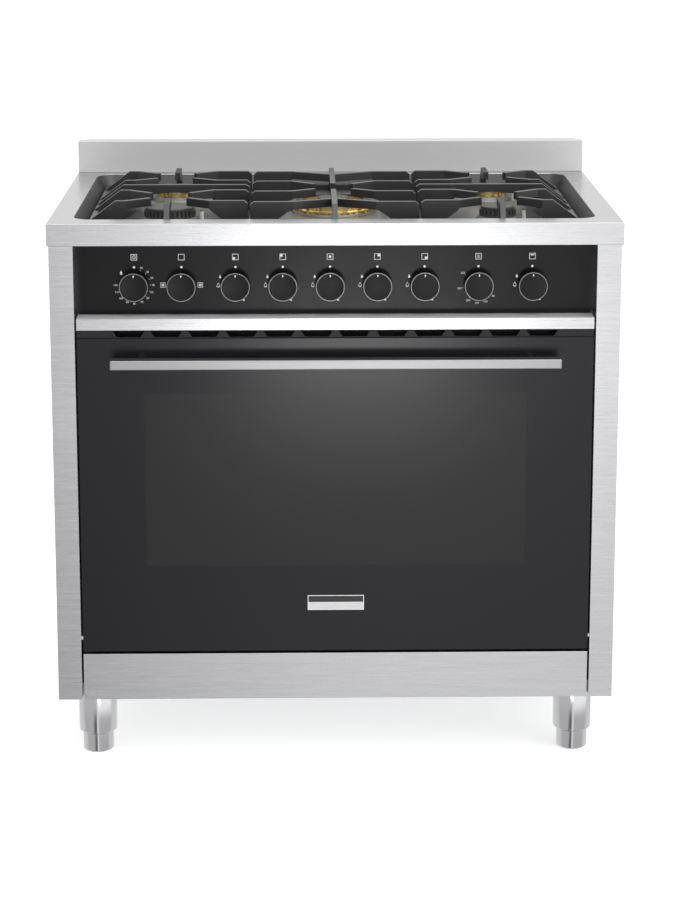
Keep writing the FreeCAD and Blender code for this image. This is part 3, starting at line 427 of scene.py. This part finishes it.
PANEL_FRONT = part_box("control_panel")[0][1]
PRINT_THICK = 0.00012
DOT_UP = 0.0287          # the dots' height above the knob's middle, and their width
DOT = 0.0038
SIGN_UP = 0.0447         # the square signs' height, width and line
SIGN = 0.0098
SIGN_LINE = 0.0007
BURNER_OFF = 0.0021      # the spot that shows which burner a sign means: its distance and width
BURNER_SPOT = 0.0036
BURNER_CORNERS = {3: (-1, -1), 4: (-1, 1), 5: (0, 0), 6: (1, 1), 7: (1, -1)}
GAS_KNOBS = (3, 4, 5, 6, 7, 9)
FLAMES = (               # across, up, size and line width, which is 0 for a filled flame
    (-0.0243, 0.0133, 0.0058, 0.0),
    (-0.0273, 0.0, 0.0082, 0.0013),
    (0.0126, -0.0237, 0.0048, 0.0),
)
DIAL_RADIUS = 0.0255
DIAL_DOT = 0.001
DIGIT = 0.0045
THIN = 0.0005            # the finest strokes
prints = bmesh.new()
knob_centres = {}
for index in range(1, 10):
    low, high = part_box("knob_%d" % index)
    knob_centres[index] = ((low[0] + high[0]) / 2, (low[2] + high[2]) / 2)


def print_mark(x, z, width, height, sides=24, line=0.0, drop=False):
    """One printed mark: a round, a square or a drop, filled or drawn as an outline."""
    mark = bmesh.new()
    square = sides == 4
    sizes = [(width, height)]
    if line:
        sizes.append((width - 2 * line, height - 2 * line))
    for wide, tall in sizes:
        ring = bmesh.ops.create_circle(
            mark,
            cap_ends=not line,
            segments=sides,
            radius=math.sqrt(0.5) if square else 0.5,
            matrix=Matrix.Rotation(math.pi / 4 if square else 0, 4, "Z"),
        )["verts"]
        for vert in ring:
            if drop:        # narrows to a point at the top
                vert.co.x *= 0.84 * max(0.5 - vert.co.y, 0) ** 0.7
            vert.co.x *= wide
            vert.co.y *= tall
    if line:
        bmesh.ops.bridge_loops(mark, edges=mark.edges)
    raised = bmesh.ops.extrude_face_region(mark, geom=mark.faces[:])["geom"]
    top = [part for part in raised if isinstance(part, bmesh.types.BMVert)]
    bmesh.ops.translate(mark, verts=top, vec=(0, 0, PRINT_THICK))
    bmesh.ops.recalc_face_normals(mark, faces=mark.faces)
    mark.transform(Matrix.Translation((x, PANEL_FRONT, z)) @ Matrix.Rotation(math.pi / 2, 4, "X"))
    flat = bpy.data.meshes.new("mark")
    mark.to_mesh(flat)
    mark.free()
    prints.from_mesh(flat)
    bpy.data.meshes.remove(flat)


def print_flame(x, z, size, line=0.0):
    """A drop-shaped mark, pointed at the top."""
    print_mark(x, z, size, size, line=line, drop=True)


def print_number(text, x, z):
    """A small printed number, centred on a point."""
    curve = bpy.data.curves.new("number", "FONT")
    curve.body = text
    curve.size = DIGIT
    curve.extrude = PRINT_THICK / 2
    curve.align_x = "CENTER"
    curve.align_y = "CENTER"
    curve.resolution_u = 2
    holder = bpy.data.objects.new("number", curve)
    bpy.context.collection.objects.link(holder)
    flat = holder.evaluated_get(bpy.context.evaluated_depsgraph_get()).to_mesh()
    place = Matrix.Translation((x, PANEL_FRONT - PRINT_THICK / 2, z))
    flat.transform(place @ Matrix.Rotation(math.pi / 2, 4, "X"))
    prints.from_mesh(flat)
    bpy.data.objects.remove(holder)
    bpy.data.curves.remove(curve)


def dial(x, z, angles, numbers, number_radius):
    """Marks with numbers round a knob, at clockwise angles from the top."""
    for angle, number in zip(angles, numbers):
        turn = math.radians(angle)
        across, up = math.sin(turn), math.cos(turn)
        print_mark(x + DIAL_RADIUS * across, z + DIAL_RADIUS * up, DIAL_DOT, DIAL_DOT)
        print_number(number, x + number_radius * across, z + number_radius * up)


for index, (x, z) in knob_centres.items():
    print_mark(x, z + DOT_UP, DOT, DOT)
    print_mark(x, z + SIGN_UP, SIGN, SIGN, 4, SIGN_LINE)
    if index in BURNER_CORNERS:
        across, up = BURNER_CORNERS[index]
        print_mark(
            x + across * BURNER_OFF, z + SIGN_UP + up * BURNER_OFF, BURNER_SPOT, BURNER_SPOT, 4
        )
    if index in GAS_KNOBS:
        for across, up, size, line in FLAMES:
            print_flame(x + across, z + up, size, line)

# The timer's sign is a clock with two hands; a flame with a bar stands where its dial ends.
CLOCK = 0.0058
LONG_HAND = 0.0022
SHORT_HAND = 0.0018
MINUTES_RADIUS = 0.0298
END_FLAME = 0.0205
END_BAR_UP = 0.0172
x, z = knob_centres[1]
print_mark(x, z + SIGN_UP, CLOCK, CLOCK, line=0.0006)
print_mark(x, z + SIGN_UP + 0.001, THIN, LONG_HAND, 4)
print_mark(x + 0.0008, z + SIGN_UP, SHORT_HAND, THIN, 4)
minutes = range(1, 13)
dial(x, z, [22.5 * step for step in minutes], [str(10 * step) for step in minutes], MINUTES_RADIUS)
print_flame(x - END_FLAME, z + END_FLAME, 0.006)
print_mark(x - END_FLAME, z + END_BAR_UP, 0.0048, 0.0006, 4)

# The selector has the same sign on either side of it, a ring in a square.
SIDE_SIGN_OFF = 0.0294
SIDE_SIGN = 0.008
SIDE_RING = 0.0044
x, z = knob_centres[2]
for side in (-1, 1):
    print_mark(x + side * SIDE_SIGN_OFF, z, SIDE_SIGN, SIDE_SIGN, 4, 0.0006)
    print_mark(x + side * SIDE_SIGN_OFF, z, SIDE_RING, SIDE_RING, line=0.0013)

# The oven's sign is three thin bars and the grill's one thick bar.
BAR_LONG = 0.0056
BAR_STEP = 0.0019
DEGREES_RADIUS = 0.0305
x, z = knob_centres[8]
for step in (-1, 0, 1):
    print_mark(x, z + SIGN_UP + step * BAR_STEP, BAR_LONG, THIN, 4)
degrees = ["50", "100", "150", "200", "250", "270"]
dial(x, z, [129, 158, 184, 211, 257, 306], degrees, DEGREES_RADIUS)
x, z = knob_centres[9]
print_mark(x, z + SIGN_UP + 0.002, BAR_LONG, 0.0014, 4)

panel_black = grained(
    "panel_black", (0.006, 0.006, 0.007), 0.24, scale=12.0, relief=0.00001, Specular_IOR_Level=0.16
)
print_white = grained("print_white", (0.82, 0.82, 0.82), 0.5)
panel = softened("panel_sheet", "control_panel", 0.0004, panel_black, "body")
finished("panel_prints", prints, [print_white], "body", False)


# ------------------------------------------------------------------ knobs and spindles
# Moulded black discs with a silver ring let into the rim and a short light pointer at the top,
# each pushed onto its own plated spindle.
def lathe(shape, profile, centre, axis, segments=64):
    """Spin an outline of (radius, height) round an axis."""
    axis = Vector(axis).normalized()
    side = axis.orthogonal().normalized()
    points = [Vector(centre) + side * radius + axis * height for radius, height in profile]
    verts = [shape.verts.new(point) for point in points]
    edges = [shape.edges.new(pair) for pair in zip(verts, verts[1:])]
    bmesh.ops.spin(
        shape, geom=verts + edges, cent=centre, axis=axis, angle=math.tau, steps=segments,
        use_merge=True,
    )
    bmesh.ops.remove_doubles(shape, verts=shape.verts, dist=1e-6)


KNOB_BODIES = (
    "timer_knob", "selector_knob", "burner_a_knob", "burner_b_knob", "burner_c_knob",
    "burner_d_knob", "burner_e_knob", "thermostat_knob", "grill_knob",
)
knob_black = grained("knob_black", (0.006, 0.006, 0.007), 0.34, scale=60.0, Specular_IOR_Level=0.16)
knob_ring = polished("knob_ring", (0.33, 0.33, 0.34), 0.3)
RING_OUTER = 0.0228
RING_INNER = 0.0217
RING_DEEP = 0.0034
BORE = 0.0042            # the hole for the spindle: its radius, and what it leaves of the front
BORE_CAP = 0.003
DISH = 0.0006            # how far the face lies behind the ring
POINTER_HALF = 0.0007
POINTER_START, POINTER_END = 0.0163, 0.0195
for index, body in enumerate(KNOB_BODIES, 1):
    x, z = knob_centres[index]
    low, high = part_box("knob_%d" % index)
    rear, length = high[1], high[1] - low[1]
    shape = bmesh.new()
    profile = [
        (0, length - BORE_CAP), (BORE, length - BORE_CAP), (BORE, 0), (0.019, 0), (0.0195, 0.0005),
        (RING_OUTER, length - RING_DEEP), (RING_OUTER, length - 0.0008), (RING_OUTER - 0.0006, length),
        (RING_INNER, length), (RING_INNER - 0.0003, length - 0.0005),
        (RING_INNER - 0.0009, length - DISH), (0, length - DISH),
    ]
    lathe(shape, profile, (x, rear, z), (0, -1, 0))
    for face in shape.faces:
        middle = face.calc_center_median()
        out = math.hypot(middle.x - x, middle.z - z)
        if out > RING_INNER - 0.0002 and middle.y < rear - length + RING_DEEP:
            face.material_index = 1
    block(
        shape,
        (x - POINTER_HALF, low[1] + 0.0002, z + POINTER_START),
        (x + POINTER_HALF, low[1] + 0.0007, z + POINTER_END),
        2,
    )
    bmesh.ops.recalc_face_normals(shape, faces=shape.faces)
    knob_materials = [knob_black, knob_ring, print_white]
    piece = finished("knob_" + body.removesuffix("_knob"), shape, knob_materials, body, True)
    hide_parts("knob_%d" % index)
plated = polished("plated_spindle", (0.6, 0.6, 0.6), 0.3)
for index in range(1, 10):
    dress("spindle_%d" % index, plated)


# ------------------------------------------------------------------ oven door
# Smoked glass front with a printed black border, under a folded and brushed cap with air
# openings. Behind it are the black enamelled inner frame, the clear inner glass, the rubber seal
# round the edge and the hinge pins.
WINDOW_MARGIN = 0.015    # of the inner glass that the frame covers all round


def within(value, limit):
    """1 where a value lies between plus and minus a limit, otherwise 0."""
    size = value.finish.add("ShaderNodeMath", {"operation": "ABSOLUTE"}, {0: value})
    return 1 - size.over(limit)


def smoked_glass():
    """Black-backed glass, a shade lighter where the clear window lies."""
    finish = Finish("smoked_glass", (0.01, 0.01, 0.012), 0.24, Specular_IOR_Level=0.25)
    low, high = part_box("door_inner_glass")
    across = finish.coordinate("X") - (low[0] + high[0]) / 2
    up = finish.coordinate("Z") - (low[2] + high[2]) / 2
    half_width = (high[0] - low[0]) / 2 - WINDOW_MARGIN
    half_height = (high[2] - low[2]) / 2 - WINDOW_MARGIN
    inside = within(across, half_width) * within(up, half_height)
    speck = finish.noise(900.0, 2.0)
    finish.set("Base Color", finish.blend(inside, (0.007, 0.007, 0.009), (0.011, 0.011, 0.012)))
    finish.set("Roughness", speck * 0.04 + 0.2 + inside * 0.02)
    return finish.material


glass = smoked_glass()
front_glass = softened("door_front_glass", "door_glass", 0.0008, glass, "door")
VENT_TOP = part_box("door_glass")[1][2] + 0.0131
vent_dark = grained("vent_dark", (0.01, 0.01, 0.012), 0.4, Specular_IOR_Level=0.25)
# The cap's upward faces get a lighter, less metallic copy of its steel: painted light from above.
ledge_painted_light = brushed("satin_top_painted_light", (0, 1, 1), (0.6, 0.6, 0.61), (0.52, 0.52, 0.53), 0.55, 0.3)
cap = softened("door_cap", "door_trim", 0.0004, steel_front, "door")
cap.data.materials.append(vent_dark)
cap.data.materials.append(ledge_painted_light)
for face in cap.data.polygons:
    if face.center.z < VENT_TOP:
        face.material_index = 1
    # upward faces: painted light
    elif face.normal.z > 0.8:
        face.material_index = 2
enamel = grained("black_enamel", (0.02, 0.02, 0.022), 0.28, scale=25.0, relief=0.00006, Coat_Weight=0.4)
clear = Finish("inner_glass", (0.6, 0.64, 0.63), 0.06, Coat_Weight=0.5)
clear.set("Base Color", clear.blend(clear.noise(9.0), (0.54, 0.58, 0.57), (0.62, 0.66, 0.65)))
clear.set("Roughness", clear.noise(35.0, 3.0) * 0.06 + 0.03)
clear.set("Alpha", clear.noise(4.0) * 0.05 + 0.28)
dress("door_frame", enamel)
dress("door_inner_glass", clear.material)
rubber = grained("seal_rubber", (0.03, 0.03, 0.03), 0.7, scale=80.0, relief=0.0001)
seal = softened("seal_ring", "door_seal", 0.0014, rubber, "door", smooth=True)
dress("door_hinge_pins", plated)


# ------------------------------------------------------------------ handle and badge
# Flat satin bar screwed to two turned posts, and a small blank metal plate with a bright rim
# round a dark field above a light one, stuck on the glass.
satin = brushed("satin_bar", (0, 1, 1), (0.34, 0.34, 0.345), (0.28, 0.28, 0.285), 0.36)
bar = softened("handle_flat_bar", "handle_bar", 0.0016, satin, "door", segments=3)
softened("handle_stand_offs", "handle_posts", 0.0005, foot_steel, "door", smooth=True)
RIM = 0.0016             # the bright rim's width, and how deep the fields lie inside it
SUNK = 0.00015
SPLIT_UP = 0.001         # of the line between the fields above the plate's middle
low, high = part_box("door_badge")
split = (low[2] + high[2]) / 2 + SPLIT_UP
plate_mesh = bmesh.new()
block(plate_mesh, low, high)
bmesh.ops.recalc_face_normals(plate_mesh, faces=plate_mesh.faces)
field = min(plate_mesh.faces, key=lambda face: face.calc_center_median().y)
bmesh.ops.inset_individual(plate_mesh, faces=[field], thickness=RIM)
bmesh.ops.inset_individual(plate_mesh, faces=[field], thickness=SUNK / 3, depth=-SUNK)
whole = plate_mesh.verts[:] + plate_mesh.edges[:] + plate_mesh.faces[:]
bmesh.ops.bisect_plane(plate_mesh, geom=whole, plane_co=(0, 0, split), plane_no=(0, 0, 1))
for face in plate_mesh.faces:
    middle = face.calc_center_median()
    if face.normal.y < -0.9 and middle.y > low[1] + SUNK / 2:
        face.material_index = 1 if middle.z > split else 2
badge_metal = polished("badge_metal", (0.75, 0.75, 0.76), 0.16)
badge_light = grained("badge_light", (0.55, 0.55, 0.56), 0.35, 0.5)
badge_black = grained("badge_black", (0.012, 0.012, 0.012), 0.3)
badge_materials = [badge_metal, badge_black, badge_light]
badge = finished("door_plate", plate_mesh, badge_materials, "door", False)
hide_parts("door_badge")


# ------------------------------------------------------------------ storage drawer
# A folded and brushed stainless front on a zinc-coated sheet tray, which slides out under the
# oven on two rails.
front = softened("drawer_face", "drawer_front", 0.0008, steel_front, "drawer")
for node in ("drawer_tray", "drawer_runners"):
    dress(node, zinc)


# ------------------------------------------------------------------ oven
# Folded and enamelled box wrapped in mineral wool. Inside it are plated side rails, a shelf of
# welded round wire that rests on them, and the two gas burners, which are steel tube.
wool = grained("mineral_wool", (0.42, 0.38, 0.28), 0.95, scale=120.0, relief=0.0012)
wire = polished("plated_wire", (0.64, 0.64, 0.65), 0.22)
tube = grained("burner_tube", (0.32, 0.31, 0.3), 0.42, 0.9)
for node, material in (
    ("oven_front_frame", enamel),
    ("oven_liner", enamel),
    ("oven_insulation", wool),
    ("shelf_rails", wire),
    ("oven_burner", tube),
    ("grill_burner", tube),
):
    dress(node, material)
SHELF_WIRES = 19
BAR = 0.007              # thickness of the shelf's border bars
WIRE = 0.004
ROD_SIDES = 16


def rod(shape, start, end, thick):
    """A round bar between two points, added to a mesh."""
    start, end = Vector(start), Vector(end)
    along = end - start
    place = Matrix.Translation((start + end) / 2) @ along.to_track_quat("Z", "Y").to_matrix().to_4x4()
    bmesh.ops.create_cone(
        shape, cap_ends=True, segments=ROD_SIDES, radius1=thick / 2, radius2=thick / 2,
        depth=along.length, matrix=place,
    )


low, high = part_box("oven_shelf")
shelf = bmesh.new()
near, far = low[1] + BAR / 2, high[1] - BAR / 2
bar_middle, wire_middle = low[2] + BAR / 2, high[2] - WIRE / 2
for y in (near, far):
    rod(shelf, (low[0], y, bar_middle), (high[0], y, bar_middle), BAR)
for x in (low[0] + BAR / 2, high[0] - BAR / 2):
    rod(shelf, (x, near, bar_middle), (x, far, bar_middle), BAR)
for index in range(1, SHELF_WIRES + 1):
    x = low[0] + index * (high[0] - low[0]) / (SHELF_WIRES + 1)
    rod(shelf, (x, low[1], wire_middle), (x, high[1], wire_middle), WIRE)
ends = [edge for edge in shelf.edges if len({len(face.verts) for face in edge.link_faces}) == 2]
round_edges(shelf, ends, 0.0012, 2)
wire_shelf = finished("wire_shelf", shelf, [wire], "body", True)
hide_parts("oven_shelf")


# ------------------------------------------------------------------ gas and electric parts
# Steel pipe manifold with its threaded inlet at the back, cast alloy valves and plastic switches
# behind the panel, and the plastic terminal box with its cable gland.
THREAD_PITCH = 0.0018
THREAD_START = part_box("rear_panel")[1][1] + 0.002
pipe = Finish("gas_pipe", (0.5, 0.49, 0.46), 0.38, 0.9)
along = pipe.coordinate("Y")
ridges = pipe.add("ShaderNodeMath", {"operation": "SINE"}, {0: along * (math.tau / THREAD_PITCH)})
thread = ridges * along.over(THREAD_START)
pipe.set("Base Color", pipe.blend(pipe.noise(30.0), (0.42, 0.41, 0.38), (0.52, 0.51, 0.48)))
pipe.set("Roughness", pipe.noise(60.0) * 0.14 + 0.3)
pipe.bump(thread, 0.0006, 0.9)
dress("gas_manifold", pipe.material)
dress("gas_taps", grained("gas_alloy", (0.55, 0.55, 0.54), 0.45, 0.9, relief=0.0001))
dress("switch_bodies", grained("switch_plastic", (0.35, 0.35, 0.34), 0.55))
dress("terminal_box", grained("terminal_plastic", (0.03, 0.03, 0.03), 0.5))


# ------------------------------------------------------------------ burners
# Cast alloy cups on the well's floor hold turned brass crowns with flame slots under grey enamelled
# caps; the front row's crowns take the caps' dark grey as painted shade. White ceramic spark electrodes
# stand beside them. The middle burner has a second, wider ring of slots low down.
CROWN_FOOT = 0.003       # the plain height under the slots
SLOT_DEEP = 0.0026
SLOTS_PER_METRE = 800    # of a crown's radius
SOLID_CROWN_BORE = 0.012
WIDE_CROWN = 0.055       # only the middle burner's crown has a larger radius
SKIRT_DEEP = 0.0072      # of the middle burner's lower ring, which is this much wider too
SKIRT_WIDE = 0.0055
SKIRT_SLOTS = 40
cup_middle = sum(corner[1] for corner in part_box("burner_cups")) / 2
FRONT_ROW = (FRONT_EDGE + 2 * cup_middle) / 3


def slotted_crown(shape, x, y, low, high, outer, inner, slots):
    """A turned ring with upright slots sunk into its outer face, above a plain foot."""
    foot = low + CROWN_FOOT
    ring = bmesh.new()
    profile = [(inner, low), (outer, low), (outer, foot), (outer, high), (inner, high), (inner, low)]
    lathe(ring, profile, (0, 0, 0), (0, 0, 1), slots * 4)
    bmesh.ops.recalc_face_normals(ring, faces=ring.faces)
    sunk = []
    for face in ring.faces:
        middle = face.calc_center_median()
        step = math.atan2(middle.y, middle.x) / math.tau * slots
        if middle.xy.length > outer * 0.97 and middle.z > foot and step % 1 < 0.5:
            sunk.append(face)
    bmesh.ops.inset_region(ring, faces=sunk, thickness=0.0001, depth=-SLOT_DEEP)
    for face in ring.faces:
        # The front row's crowns take the lids' grey: painted shade under the lids.
        face.material_index = 1 if y < FRONT_ROW else 0
    ring.transform(Matrix.Translation((x, y, 0)))
    turned = bpy.data.meshes.new("crown")
    ring.to_mesh(turned)
    ring.free()
    shape.from_mesh(turned)
    bpy.data.meshes.remove(turned)


def separate_parts(shape):
    """The vertices of a mesh, as one list for each part that hangs together."""
    seen = set()
    found = []
    for first in shape.verts:
        if first in seen:
            continue
        seen.add(first)
        part, waiting = [], [first]
        while waiting:
            vert = waiting.pop()
            part.append(vert)
            for edge in vert.link_edges:
                other = edge.other_vert(vert)
                if other not in seen:
                    seen.add(other)
                    waiting.append(other)
        found.append(part)
    return found


brass = polished("burner_brass", (1.0, 0.78, 0.34), 0.17)
alloy = grained("burner_alloy", (0.17, 0.168, 0.16), 0.5, 0.9, relief=0.00008)
# The lids' own grey, also used as painted shade on the front row's crowns.
lid_grey_and_crown_shade = grained(
    "burner_lid_grey_and_crown_shade", (0.06, 0.058, 0.056), 0.5, relief=0.00006, Specular_IOR_Level=0.35
)
cups = softened("burner_cup_castings", "burner_cups", 0.0008, alloy, "body", smooth=True)
burner_middles = []
crown_mesh = bmesh.new()
source = bmesh.new()
source.from_mesh(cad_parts["burner_crowns"].data)
bmesh.ops.remove_doubles(source, verts=source.verts, dist=WELD)
for part in separate_parts(source):
    xs = [vert.co.x for vert in part]
    ys = [vert.co.y for vert in part]
    bottom = min(vert.co.z for vert in part)
    top = max(vert.co.z for vert in part)
    x, y = (min(xs) + max(xs)) / 2, (min(ys) + max(ys)) / 2
    outer = (max(xs) - min(xs)) / 2
    nearest = min(math.hypot(vert.co.x - x, vert.co.y - y) for vert in part)
    inner = nearest if 0.02 < nearest < outer * 0.95 else SOLID_CROWN_BORE
    burner_middles.append((x, y))
    slotted_crown(crown_mesh, x, y, bottom, top, outer, inner, round(outer * SLOTS_PER_METRE))
    if outer > WIDE_CROWN:
        wide, bore = outer + SKIRT_WIDE, outer - 0.003
        slotted_crown(crown_mesh, x, y, bottom - SKIRT_DEEP, bottom, wide, bore, SKIRT_SLOTS)
source.free()
bmesh.ops.recalc_face_normals(crown_mesh, faces=crown_mesh.faces)
crowns = finished("slotted_crowns", crown_mesh, [brass, lid_grey_and_crown_shade], "body", True)
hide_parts("burner_crowns")
softened("burner_lids", "burner_caps", 0.0011, lid_grey_and_crown_shade, "body", segments=3, smooth=True)
METAL_TIP = 0.0025       # of the white electrodes
ceramic = Finish("ceramic_white", (0.85, 0.84, 0.8), 0.3)
tip = ceramic.coordinate("Z").over(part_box("spark_electrodes")[1][2] - METAL_TIP)
glaze = ceramic.noise(90.0)
white = ceramic.blend(glaze, (0.78, 0.77, 0.73), (0.86, 0.85, 0.81))
sockets = {0: tip, 6: white, 7: (0.45, 0.44, 0.42, 1)}
ceramic.set("Base Color", ceramic.add("ShaderNodeMix", {"data_type": "RGBA"}, sockets, output=2))
ceramic.set("Metallic", tip * 1.0)
ceramic.set("Roughness", glaze * 0.1 + 0.25)
dress("spark_electrodes", ceramic.material)


# ------------------------------------------------------------------ pan supports
# Three iron castings in black enamel, with softened edges and a slightly pebbled skin. They
# stand loose on the tray, and the fingers over the burners are a shade lighter.
iron = Finish("cast_iron", (0.016, 0.016, 0.017), 0.4, Coat_Weight=0.25, Coat_Roughness=0.35)
pebble = iron.noise(420.0, 3.0)
patch = iron.noise(18.0, 2.0)
iron.set("Base Color", iron.blend(patch, (0.011, 0.011, 0.012), (0.022, 0.022, 0.023)))
iron.set("Roughness", pebble * 0.12 + patch * 0.08 + 0.32)
iron.bump(pebble, 0.00035, 0.35)
# A shade lighter on the fingers' upward faces near the burners.
finger_tops_lighter = grained(
    "finger_enamel", (0.03, 0.029, 0.028), 0.5, scale=200.0, relief=0.0001, Specular_IOR_Level=0.25
)
FINGER_REACH = 0.062     # of the lighter part from a burner's middle
for where in ("left", "centre", "right"):
    support = softened(
        "pan_support_" + where, "grate_" + where, 0.002, iron.material, "grate_" + where
    )
    support.data.materials.append(finger_tops_lighter)
    for face in support.data.polygons:
        reach = min(math.hypot(face.center.x - x, face.center.y - y) for x, y in burner_middles)
        if reach < FINGER_REACH and face.normal.z > 0.3:
            face.material_index = 1


# ------------------------------------------------------------------ fasteners on the back
# Blackened pan-head screws along the left and right edges of the rear panel, which hold it on
# the side panels.
SCREWS_A_SIDE = 5
SIDE_MARGIN = 0.014
END_MARGIN = 0.04
screws = bmesh.new()
low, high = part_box("rear_panel")
HEAD = ((0, 0), (0.0042, 0), (0.0042, 0.0012), (0.0034, 0.0022), (0.0012, 0.0026), (0, 0.0016))
for side in (-1, 1):
    for step in range(SCREWS_A_SIDE):
        z = low[2] + END_MARGIN + step * (high[2] - low[2] - 2 * END_MARGIN) / (SCREWS_A_SIDE - 1)
        lathe(screws, HEAD, (side * (high[0] - SIDE_MARGIN), high[1], z), (0, 1, 0), 20)
bmesh.ops.recalc_face_normals(screws, faces=screws.faces)
blackened = grained("blackened_screw", (0.05, 0.05, 0.052), 0.35, 0.7, scale=300.0)
finished("rear_screws", screws, [blackened], "body", True)
